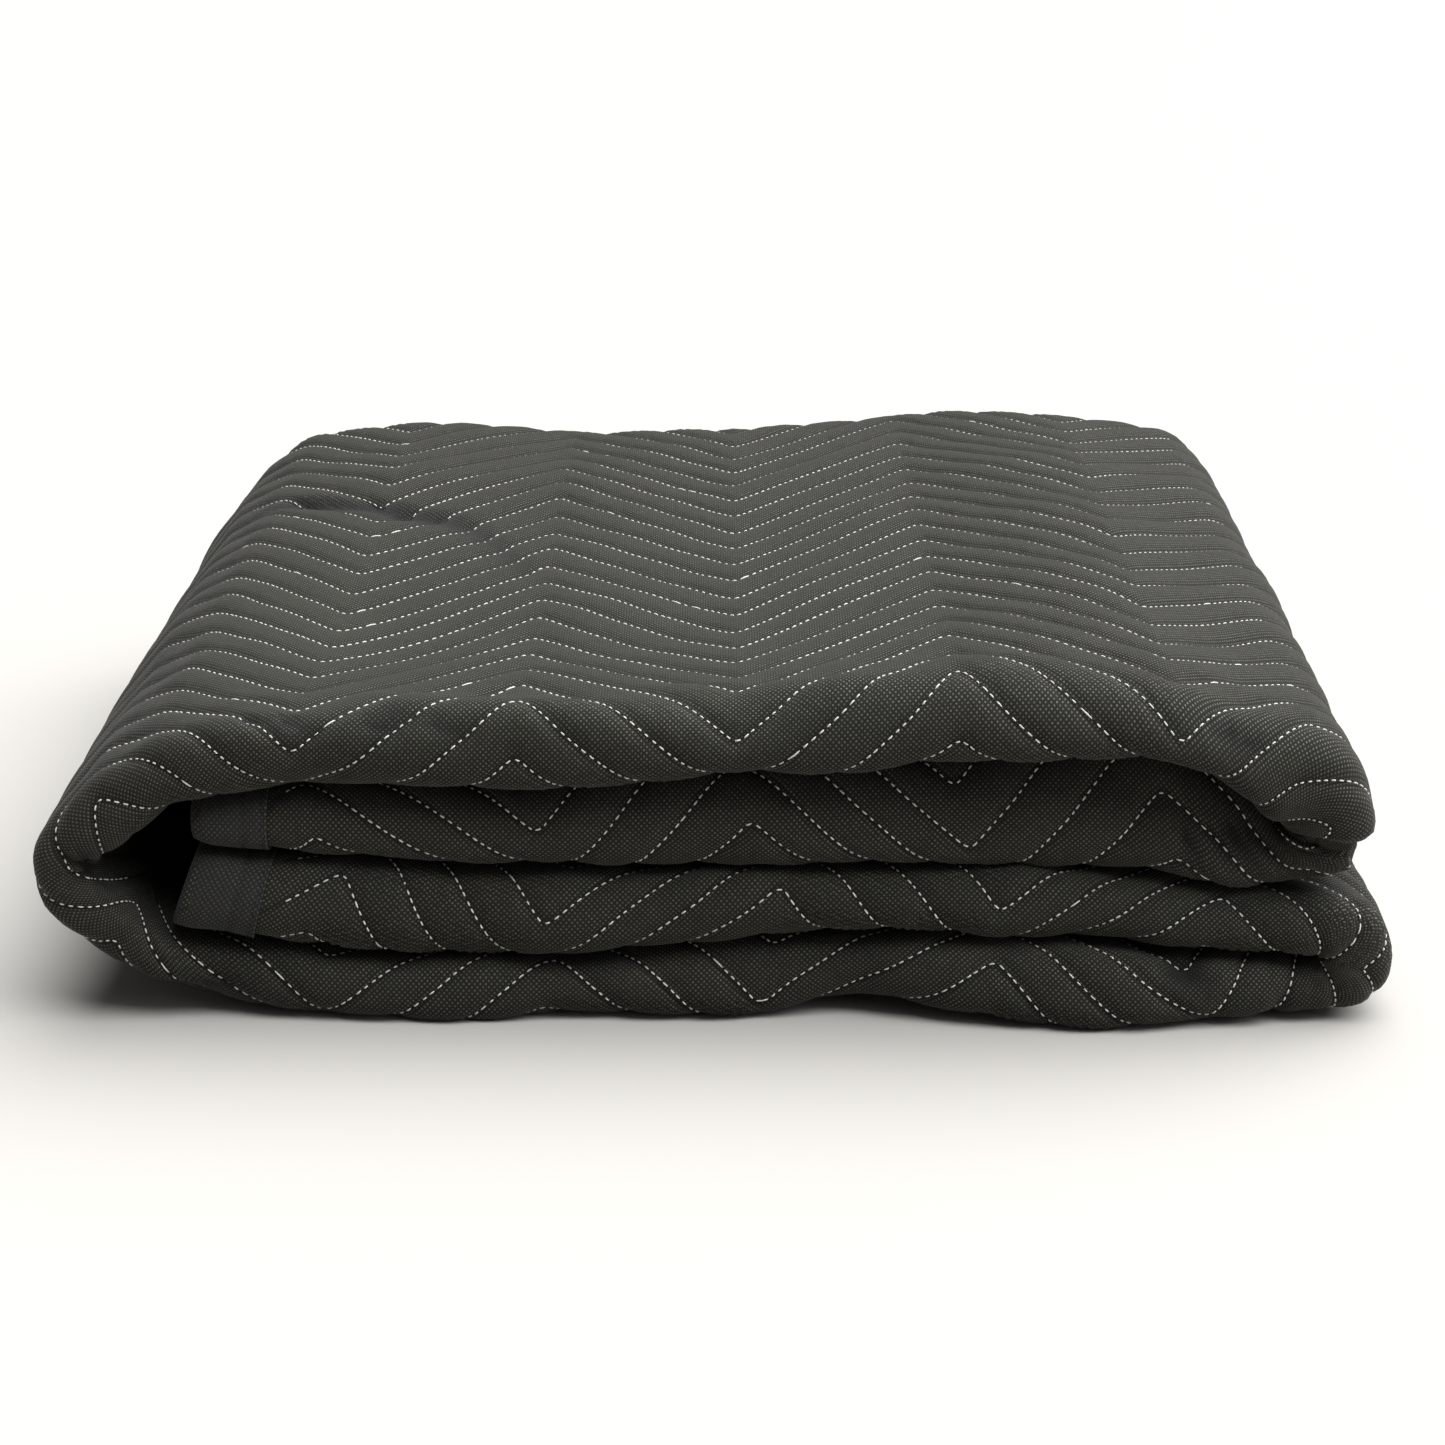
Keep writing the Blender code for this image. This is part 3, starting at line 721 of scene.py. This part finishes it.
def acrossAt(s, row, near):
    # a lattice row's place across the blanket: it slides with the zigzag, and dies out at the edge
    edge = foldSizes(s)[3]
    kept = np.clip(row, rowLow, rowHigh)
    inside = kept + (across(s, kept) - kept) * near
    above = np.clip(row - rowHigh, 0, 1)
    below = np.clip(rowLow - row, 0, 1)
    return inside + above * (edge - inside) - below * (edge + inside)


def cellLevels(isOuter):
    # 2 = every lattice point, 1 = every second, 0 = corners only
    cols = columnPlaces[::lattice["columnSteps"]]
    rows = rowPlaces[::lattice["rowSteps"]]
    middle = (cols[1:] + cols[:-1]) / 2
    place = placeAt(middle)
    quarter, flat, turn = foldSizes(middle)[:3]
    drifts = [shift / 1000 for row in rowDrift for shift in row[1:]]
    corners = zigzag(np.stack([cols[:-1], middle, cols[1:]]))
    slideLow = (corners.min(0) + min(drifts)) * isOuter
    slideHigh = (corners.max(0) + max(drifts)) * isOuter
    more = lattice["foldMargin"]
    grid = np.zeros((len(middle), len(rows) - 1), int)
    for c in range(len(middle)):
        low = rows[:-1] + slideLow[c]
        high = rows[1:] + slideHigh[c]
        fold = quarter[c] + flat[c]

        def reaches(a, b):
            return (high > a) & (low < b)
        nose = reaches(-quarter[c] - 0.008, quarter[c] + 0.012)
        behind = reaches(fold - more, fold + turn[c] + more) | reaches(-fold - turn[c] - more, more - fold)
        grid[c][behind] = 1
        if isOuter:
            grid[c][nose] = 2
            if onTopFace(place[c], 0.05):
                grid[c][reaches(0.0, fold + 0.01)] = 2
        else:
            grid[c][nose] = 1
            if any(start - 0.1 <= place[c] <= stop + 0.1 for start, stop in bends):
                grid[c] = np.maximum(grid[c], 1 * reaches(-0.05, 0.05))
    return grid


def usedPoints(grid):
    u, v = lattice["columnSteps"], lattice["rowSteps"]
    used = np.zeros((grid.shape[0] * u + 1, grid.shape[1] * v + 1), bool)
    for level, (du, dv) in enumerate(((u, v), (2, 2), (1, 1))):
        c, r = np.nonzero(grid == level)
        for a in range(0, u + 1, du):
            for b in range(0, v + 1, dv):
                used[c * u + a, r * v + b] = True
    return used


def latticeFaces(grid, used, index, flip):
    u, v = lattice["columnSteps"], lattice["rowSteps"]
    faces = []
    c, r = np.nonzero(grid == 2)
    for a in range(u):
        for b in range(v):
            i, j = c * u + a, r * v + b
            quad = np.stack([index[i, j], index[i + 1, j], index[i + 1, j + 1], index[i, j + 1]], -1)
            faces += quad.tolist()
    for level, (du, dv) in ((0, (u, v)), (1, (2, 2))):
        for c, r in zip(*np.nonzero(grid == level)):
            for i in range(c * u, c * u + u, du):
                for j in range(r * v, r * v + v, dv):
                    rim = [(i + k, j) for k in range(du)] + [(i + du, j + k) for k in range(dv)]
                    rim += [(i + du - k, j + dv) for k in range(du)] + [(i, j + dv - k) for k in range(dv)]
                    faces.append([int(index[p]) for p in rim if used[p]])
    return [face[::-1] for face in faces] if flip else faces


def rimStrip(outer, inner, used):
    # closes the cut and long edges between the two faces
    last, top = used.shape[0] - 1, used.shape[1] - 1
    walk = [(i, 0) for i in range(last)] + [(last, j) for j in range(top)]
    walk += [(i, top) for i in range(last, 0, -1)] + [(0, j) for j in range(top, 0, -1)]
    walk = [p for p in walk if used[p]]
    strip = []
    for p, q in zip(walk, walk[1:] + walk[:1]):
        strip.append([int(outer[q]), int(outer[p]), int(inner[p]), int(inner[q])])
    return strip


def buildCloth():
    grids = cellLevels(True), cellLevels(False)
    used = [usedPoints(grid) for grid in grids]
    rim = np.zeros_like(used[0])
    rim[0, :] = rim[-1, :] = rim[:, 0] = rim[:, -1] = True
    shared = (used[0] | used[1]) & rim
    used = [one | shared for one in used]
    points, faces, indices = [], [], []
    uvs = {"flat": [], "lines": [], "shade": []}
    count = 0
    for isOuter, grid, one in zip((True, False), grids, used):
        i, j = np.nonzero(one)
        s, row = columnPlaces[i], rowPlaces[j]
        near = 1.0 if isOuter else 1 - np.clip(np.minimum(s, wholeLength - s) / 0.08, 0, 1)
        t = acrossAt(s, row, near)
        lines = (row - lineStart) / quilting["pitch"]
        if isOuter:
            where = surfacePoint(s, t, 0.0, lines)
        else:
            half = clothAt(s, ribSize(ribsAt(s)[0]))[0] / 2
            where = foldedPoint(s, t, -half)
        index = np.zeros(one.shape, int)
        index[i, j] = np.arange(len(i)) + count
        count += len(i)
        points.append(where)
        uvs["flat"].append(np.stack([s, t], -1))
        uvs["lines"].append(np.stack([s, lines], -1))
        # painted shade: how dark the colour is painted in the tuck and in the single creases, passed to the
        # material in the UV layer named shade
        shade = np.clip(1.3 * tuckAt(s, t) + creaseAt(s, t) / 0.0024, 0, 1) * isOuter
        uvs["shade"].append(np.stack([shade, 0 * shade], -1))
        indices.append(index)
        faces += latticeFaces(grid, one, index, not isOuter)
    faces += rimStrip(indices[0], indices[1], used[0] & rim)
    return addPiece("quilted_cloth", np.concatenate(points), faces, uvs)


cloth = buildCloth()
print("cloth", len(cloth.data.vertices), "points", len(cloth.data.polygons), "faces")

# the stitches: white thread, one small raised piece each
thread = {
    "stitch": 0.0023,
    "pitch": 0.0037,
    "radius": 0.00035,
    "sinkTop": 0.00030,  # how deep the thread lies in the cloth, where it lies deepest
    "sinkFold": 0.00015,
    "unevenness": 0.14,
    "looseShare": 0.012,  # long stitches that lie loose on the cloth
    "sides": 5,
    # rings along a stitch: share of its length, share of the radius, height in radii
    "rings": ((0.0, 0.0, -0.4), (0.14, 0.85, 0.3), (0.5, 1.0, 0.7), (0.86, 0.85, 0.3), (1.0, 0.0, -0.4)),
    "seed": 7,
}


def stitchRuns():
    # every stretch of a stitch line that can be seen, as places (s, t) a stitch apart
    dice = random.Random(thread["seed"])
    starts, stops, sinks = [], [], []
    fine = np.arange(bound + 0.004, wholeLength - bound - 0.004, 0.0005)
    place = placeAt(fine)
    quarter, flat, turn = foldSizes(fine)[:3]
    # the lines that lie no further out than the fold behind
    lowest, highest = [int((end - lineStart) / quilting["pitch"]) for end in (-0.53, 0.53)]
    for k in range(lowest, highest + 1):
        t = across(fine, lineStart + k * quilting["pitch"])
        run = runAlong(fine, t)
        at = dice.random() * thread["pitch"]
        phases = [(dice.uniform(20, 90), dice.uniform(0, 6.3)) for _ in range(3)]
        tight = dice.uniform(0.0, 1.0)
        while at < run[-1] - thread["pitch"]:
            uneven = 1 + thread["unevenness"] * dice.uniform(-1, 1)
            loose = dice.random() < thread["looseShare"]
            span = thread["stitch"] * uneven + loose * thread["pitch"]
            i, j = np.searchsorted(run, (at, min(at + span, run[-1])))
            onNose = abs(t[i]) < quarter[i] + 0.012
            onTop = 0 < t[i] < quarter[i] + flat[i] + 0.01 and onTopFace(place[i], 0.03)
            onBack = quarter[i] + flat[i] - 0.004 < abs(t[i]) < quarter[i] + flat[i] + turn[i] + 0.004
            if onNose or onTop or onBack:
                # some runs are pulled tight and nearly vanish
                pull = sum(math.sin(rate * at + phase) for rate, phase in phases) / 3
                pull = min(max(0.5 * tight + 0.55 * pull + 0.3 * dice.random(), 0.0), 1.0)
                deepest = thread["sinkTop"] if onTop and t[i] > quarter[i] else thread["sinkFold"]
                starts.append((fine[i], t[i]))
                stops.append((fine[j], t[j]))
                sinks.append(-0.0001 if loose else pull * deepest)
            at += thread["pitch"] * (uneven + loose)
    return np.array(starts), np.array(stops), np.array(sinks)


def unit(vectors):
    return vectors / (np.linalg.norm(vectors, axis=1, keepdims=True) + 1e-9)


def buildStitches(name, face, starts, stops, sinks):
    # a stitch is a short thread, thickest in its middle, with its ends down in the cloth
    low = face(starts[:, 0], starts[:, 1])
    high = face(stops[:, 0], stops[:, 1])
    lifted = face(starts[:, 0], starts[:, 1], 0.001)
    along, out = unit(high - low), unit(lifted - low)
    sideways = unit(np.cross(along, out))
    points = []
    sides = thread["sides"]
    for share, size, rise in thread["rings"]:
        st = starts + (stops - starts) * share
        middle = face(st[:, 0], st[:, 1]) + out * (thread["radius"] * rise - sinks)[:, None]
        if size == 0.0:
            points.append(middle[:, None, :])
            continue
        turn = np.arange(sides) * 2 * math.pi / sides
        ring = sideways[:, None] * np.cos(turn)[None, :, None] + out[:, None] * np.sin(turn)[None, :, None]
        points.append(middle[:, None, :] + ring * thread["radius"] * size)
    block = np.concatenate(points, 1)
    per = block.shape[1]
    faces = []
    for k in range(sides):
        n = (k + 1) % sides
        faces.append((0, 1 + k, 1 + n))
        faces.append((1 + k, 1 + sides + k, 1 + sides + n, 1 + n))
        faces.append((1 + sides + k, 1 + 2 * sides + k, 1 + 2 * sides + n, 1 + sides + n))
        faces.append((1 + 2 * sides + k, 1 + 3 * sides, 1 + 2 * sides + n))
    everyFace = []
    for first in range(0, len(starts) * per, per):
        everyFace += [[first + p for p in corners] for corners in faces]
    return addPiece(name, block, everyFace)


stitchStarts, stitchStops, stitchSinks = stitchRuns()
stitchPlace = placeAt(stitchStarts[:, 0])
isTop = (stitchPlace > 2.0) & (stitchPlace < 5.05) & (stitchStarts[:, 1] > 0)
topStitches, foldStitches = [
    buildStitches(name, surfacePoint, stitchStarts[some], stitchStops[some], stitchSinks[some])
    for name, some in (("stitches_top", isTop), ("stitches_folds", ~isTop))]
print("stitches", len(stitchStarts), "of which on top", int(isTop.sum()))

# the binding: a strip of the same nonwoven folded over each cut end, sewn with two rows of dark thread
binding = {
    "width": 0.028,
    "thick": 0.0008,
    "clear": 0.0005,
    "rowsAt": (0.0262, 0.0185),
    "stitch": 0.0028,
    "pitch": 0.0038,
    "rounding": 0.0035,  # how far its outer corner is worn back
    "rowDip": 0.0005,  # how far a stitch row draws the tape in
    "sink": 0.0004,  # how deep its stitches lie
    "loops": 321,
}


def tapeFace(s, t, lift=0.0):
    # outer face of a binding, a little uneven, and worn round at its outer corner
    along = np.minimum(s, wholeLength - s)
    worn = binding["rounding"] * (1 - np.clip(along / 0.009, 0, 1)) ** 2 * (1 - step(np.abs(t), 0.02, 0.05))
    offset = stack["boundThick"] / 2 + binding["clear"] + binding["thick"]
    place = foldedPoint(s, t, offset + lift + 0.0004 * np.clip(ripple(s, t, 11, 0.012, 0.04), -1, 1))
    place[..., 1] += worn
    return place


def buildBinding(name, end):
    inner = stack["boundThick"] / 2 + binding["clear"]
    outer = inner + binding["thick"]
    past = binding["clear"] + binding["thick"]
    wide = binding["width"]
    shares = (1.0, 0.965, 0.935, 0.90, 0.80, 0.69, 0.66, 0.63, 0.5, 0.36, 0.24, 0.14, 0.06, 0.0)
    loop = [(wide * v, outer) for v in shares]
    loop += [(-past * 0.6, outer * 0.85), (-past, outer * 0.35)]
    loop += [(-past, -outer * 0.35), (-past * 0.6, -outer * 0.85)]
    loop += [(wide * v, -outer) for v in shares[::-1]]
    loop += [(wide, -inner), (wide * 0.5, -inner), (-binding["clear"], -inner)]
    loop += [(-binding["clear"], inner), (wide * 0.5, inner), (wide, inner)]
    lines, uvs = [], []
    rows = np.linspace(-1, 1, binding["loops"])
    for along, offset in loop:
        s = np.full(len(rows), abs(end - max(along, 0.0)))
        quarter, flat, turn, edge = foldSizes(s)
        # rows crowd round the folds
        t = np.interp(np.abs(rows), (0, 0.14, 0.30, 0.44, 1.0), (0, 1, 2, 3, 4))
        stops = np.stack([0 * quarter, quarter, quarter + flat, quarter + flat + turn, edge])
        low = np.minimum(t.astype(int), 3)
        here, after = stops[low, range(len(t))], stops[low + 1, range(len(t))]
        t = np.sign(rows) * (here + (t - low) * (after - here))
        dip = binding["rowDip"] if any(abs(along - row) < 0.0006 for row in binding["rowsAt"]) else 0.0
        worn = tapeFace(s, t) - foldedPoint(s, t, np.full(len(rows), outer))
        place = foldedPoint(s, t, np.full(len(rows), offset - math.copysign(dip, offset))) + worn
        place[:, 0] += min(along, 0.0)
        lines.append(place)
        uvs.append(np.stack([np.full(len(rows), along), t], -1))
    block = np.stack(lines)
    around, long = block.shape[:2]
    faces = []
    for i in range(around):
        n = (i + 1) % around
        for j in range(long - 1):
            faces.append((i * long + j, n * long + j, n * long + j + 1, i * long + j + 1))
    faces.append([i * long for i in range(around)][::-1])
    faces.append([i * long + long - 1 for i in range(around)])
    return addPiece(name, block, faces, {"flat": uvs})


def bindingRuns():
    # the dark stitches, where the front folds show them
    starts, stops = [], []
    for end in (0.0, wholeLength):
        for row in binding["rowsAt"]:
            for k in range(-12, 13):
                t = k * binding["pitch"]
                starts.append((abs(end - row), t))
                stops.append((abs(end - row), t + binding["stitch"]))
    return np.array(starts), np.array(stops), np.full(len(starts), binding["sink"])


upperTape = buildBinding("upper_end_tape", 0.0)
lowerTape = buildBinding("lower_end_tape", wholeLength)
tapeStitches = buildStitches("binding_stitches", tapeFace, *bindingRuns())
print("bindings", len(upperTape.data.polygons), "faces each")


# point-bonded nonwoven polypropylene over recycled-fibre wadding: a matte, felty ground with a
# diagonal grid of hot-pressed dots, smoother than the ground, which glint where they turn to the light
nonwovenLook = {
    "ground": "#1a1a15",
    "dark": "#10100d",
    "pale": "#525144",  # the pressed dots
    "dotPitch": 0.00213,  # along the blanket and across it, so the dots lie 1.5 mm apart on the slant
    "dotEdge": (0.22, 0.82),
    "pressRate": 420.0,  # rates of the noises, in steps for each metre
    "patchRate": 45.0,
    "grainRate": 600.0,
    "fuzzRate": 2200.0,
    "grainShare": 0.55,
    # painted shade beside each stitch line: how dark it is, its colour and how far it lies from the line
    "lineShade": 0.75,
    "lineShadeColour": "#070706",
    "lineOffset": 0.035,  # of the shade from its stitch line, in parts of the lines' pitch
    # painted shade in the tuck and the single creases: how dark it is and its colour
    "creaseShade": 0.9,
    "creaseShadeColour": "#060605",
    "puckers": (150.0, 1.6, 1.0),  # for each metre along the lines, for each line across them
    "roughGround": 0.92,
    "roughDot": 0.38,
    "specular": 0.28,
    "sheen": 0.05,
}

tapeColours = {"ground": "#20201f", "dark": "#161615", "pale": "#40403e"}  # the binding is a cooler grey


def makeNonwoven(name, quilted, colours):
    look = nonwovenLook
    material, tree, shader = newMaterial(name)
    flat = addNode(tree, "UVMap", {"uv_map": "flat"})
    where = addNode(tree, "TexCoord", {}, "Object")
    waves = []
    for axis in (0, 1):
        along = addNode(tree, "SeparateXYZ", {0: flat}, axis)
        waves.append(calc(tree, "COSINE", calc(tree, "MULTIPLY", along, 2 * math.pi / look["dotPitch"])))
    spots = remap(tree, calc(tree, "MULTIPLY", *waves), *look["dotEdge"], kind="SMOOTHSTEP")
    # some dots are pressed harder than others
    hard = remap(tree, noise(tree, where, look["pressRate"], 1.0), 0.3, 0.7, 0.45)
    lit = calc(tree, "MULTIPLY", spots, hard)
    # mottled ground: patches of 10 to 40 mm under a grain of 1 to 2 mm
    patches = noise(tree, where, look["patchRate"], 4.0, 0.6)
    grain = noise(tree, where, look["grainRate"], 3.0, 0.7)
    mottle = addNode(tree, "Mix", {"data_type": "FLOAT", 0: look["grainShare"], 2: patches, 3: grain})
    ground = mixColours(tree, remap(tree, mottle, 0.32, 0.68), colours["ground"], colours["dark"])
    colour = mixColours(tree, lit, ground, colours["pale"])
    rough = remap(tree, lit, toLow=look["roughGround"], toHigh=look["roughDot"])
    tree.links.new(rough, shader.inputs["Roughness"])
    under = {}
    if quilted:
        lines = addNode(tree, "UVMap", {"uv_map": "lines"})
        row = addNode(tree, "SeparateXYZ", {0: lines}, 1)
        away = calc(tree, "PINGPONG", row, 0.5)
        # painted shade: the needle pulls the cloth down into a groove, and a thin dark line is painted along
        # each stitch line, on its far side, where the groove's shade falls
        beyond = calc(tree, "SUBTRACT", calc(tree, "WRAP", row, 0.5, -0.5), look["lineOffset"])
        beside = calc(tree, "ABSOLUTE", beyond)
        shade = remap(tree, beside, 0.012, 0.085, look["lineShade"], 0.0, "SMOOTHSTEP")
        colour = mixColours(tree, shade, colour, look["lineShadeColour"])
        # and painted shade in the depth of the tuck and of the single creases
        depth = addNode(tree, "SeparateXYZ", {0: addNode(tree, "UVMap", {"uv_map": "shade"})})
        paintedCreaseShade = remap(tree, depth, toHigh=look["creaseShade"])
        colour = mixColours(tree, paintedCreaseShade, colour, look["creaseShadeColour"])
        # puckers: short gathers that cross each stitch line and die out between the lines
        stretched = addNode(tree, "VectorMath", {"operation": "MULTIPLY", 0: lines, 1: look["puckers"]})
        close = remap(tree, away, 0.0, 0.34, 1.0, 0.25, "SMOOTHSTEP")
        gathers = calc(tree, "MULTIPLY", noise(tree, stretched, 1.0, 2.5, 0.6), close)
        crossed = bump(tree, gathers, 0.7, 0.0016)
        groove = remap(tree, away, 0.0, 0.10, kind="SMOOTHSTEP")
        under = {"Normal": bump(tree, groove, 0.5, 0.0012, Normal=crossed)}
    tree.links.new(colour, shader.inputs["Base Color"])
    pressed = bump(tree, spots, 0.5, 0.00022, invert=True, **under)
    felt = bump(tree, noise(tree, where, look["fuzzRate"], 2.0), 0.3, 0.0003, Normal=pressed)
    tree.links.new(felt, shader.inputs["Normal"])
    shader.inputs["Specular IOR Level"].default_value = look["specular"]
    shader.inputs["Sheen Weight"].default_value = look["sheen"]
    shader.inputs["Sheen Roughness"].default_value = 0.5
    return material


# spun polyester thread: on the quilting off-white and slightly silky, on the binding charcoal and
# matte, seen there only as small ridges and shadows
threadLooks = {
    "white": {"dark": "#b4b3aa", "pale": "#e0dfd6", "rough": 0.6, "ridge": 0.0001},
    "charcoal": {"dark": "#0e0e0d", "pale": "#1a1a18", "rough": 0.7, "ridge": 0.0},
}


def makeThread(kind):
    look = threadLooks[kind]
    material, tree, shader = newMaterial("spun polyester thread, " + kind)
    twist = noise(tree, addNode(tree, "TexCoord", {}, "Object"), 1500.0, 2.0)
    tree.links.new(mixColours(tree, twist, look["dark"], look["pale"]), shader.inputs["Base Color"])
    if look["ridge"]:
        tree.links.new(bump(tree, twist, 0.3, look["ridge"]), shader.inputs["Normal"])
    shader.inputs["Roughness"].default_value = look["rough"]
    return material


cloth.data.materials.append(makeNonwoven("point-bonded nonwoven, quilted", True, nonwovenLook))
threadLook = makeThread("white")
for piece in (topStitches, foldStitches):
    piece.data.materials.append(threadLook)
tapeLook = makeNonwoven("point-bonded nonwoven, folded as binding", False, tapeColours)
for piece in (upperTape, lowerTape):
    piece.data.materials.append(tapeLook)
tapeStitches.data.materials.append(makeThread("charcoal"))
print("materials made")

# what rides, and what stands for which solid
for piece in (cloth, topStitches, foldStitches, upperTape, lowerTape, tapeStitches):
    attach(piece, "root")
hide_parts("quilted_blanket")
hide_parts("upper_end_binding")
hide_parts("lower_end_binding")

# the photograph's camera
view = {"x": 0.0017, "y": -1.212, "z": 0.444, "down": 18.25, "lens": 69.76, "sensor": 36.0}
cameraData = bpy.data.cameras.new("camera")
cameraData.lens = view["lens"]
cameraData.sensor_width = view["sensor"]
camera = addObject("camera", cameraData)
camera.location = (view["x"], view["y"], view["z"])
camera.rotation_euler = (math.radians(90 - view["down"]), 0.0, 0.0)
bpy.context.scene.camera = camera

# a pale floor, a wide soft light from above right and a little behind, and a weak one from front right
studio = {
    "floor": 40.0,  # half its side
    "floorLow": 0.0005,  # below the lowest stitches
    "floorColour": "#b2b0ac",
    "world": 0.10,
    "backdrop": 0.95,  # what the camera sees beyond the floor
    "sun": 7.5,
    "sunAngle": 88.0,
    "sunTilt": (-9.0, 24.0, 0.0),
    "fill": 0.45,
    "fillAngle": 40.0,
    "fillTilt": (60.0, 0.0, 62.0),
}

floorMesh = bpy.data.meshes.new("floor")
side = studio["floor"]
corners = [(-side, -side, 0), (side, -side, 0), (side, side, 0), (-side, side, 0)]
floorMesh.from_pydata(corners, [], [(0, 1, 2, 3)])
floor = addObject("floor", floorMesh)
floor.location.z = -studio["floorLow"]
floorMaterial, _, floorShader = newMaterial("white paper sweep")
floorShader.inputs["Base Color"].default_value = linear(studio["floorColour"])
floorShader.inputs["Roughness"].default_value = 0.9
floorMesh.materials.append(floorMaterial)
world = bpy.data.worlds.new("studio")
world.use_nodes = True
seen = addNode(world.node_tree, "LightPath", {}, "Is Camera Ray")
glow = remap(world.node_tree, seen, toLow=studio["world"], toHigh=studio["backdrop"])
background = world.node_tree.nodes["Background"]
background.inputs[0].default_value = (1.0, 0.99, 0.97, 1.0)
world.node_tree.links.new(glow, background.inputs[1])
bpy.context.scene.world = world
for name, key in (("wide softbox above", "sun"), ("fill from the front right", "fill")):
    lampData = bpy.data.lights.new(name, "SUN")
    lampData.energy = studio[key]
    lampData.angle = math.radians(studio[key + "Angle"])
    addObject(name, lampData).rotation_euler = [math.radians(v) for v in studio[key + "Tilt"]]
bpy.context.scene.view_settings.view_transform = "Standard"
print("camera, floor and light set")
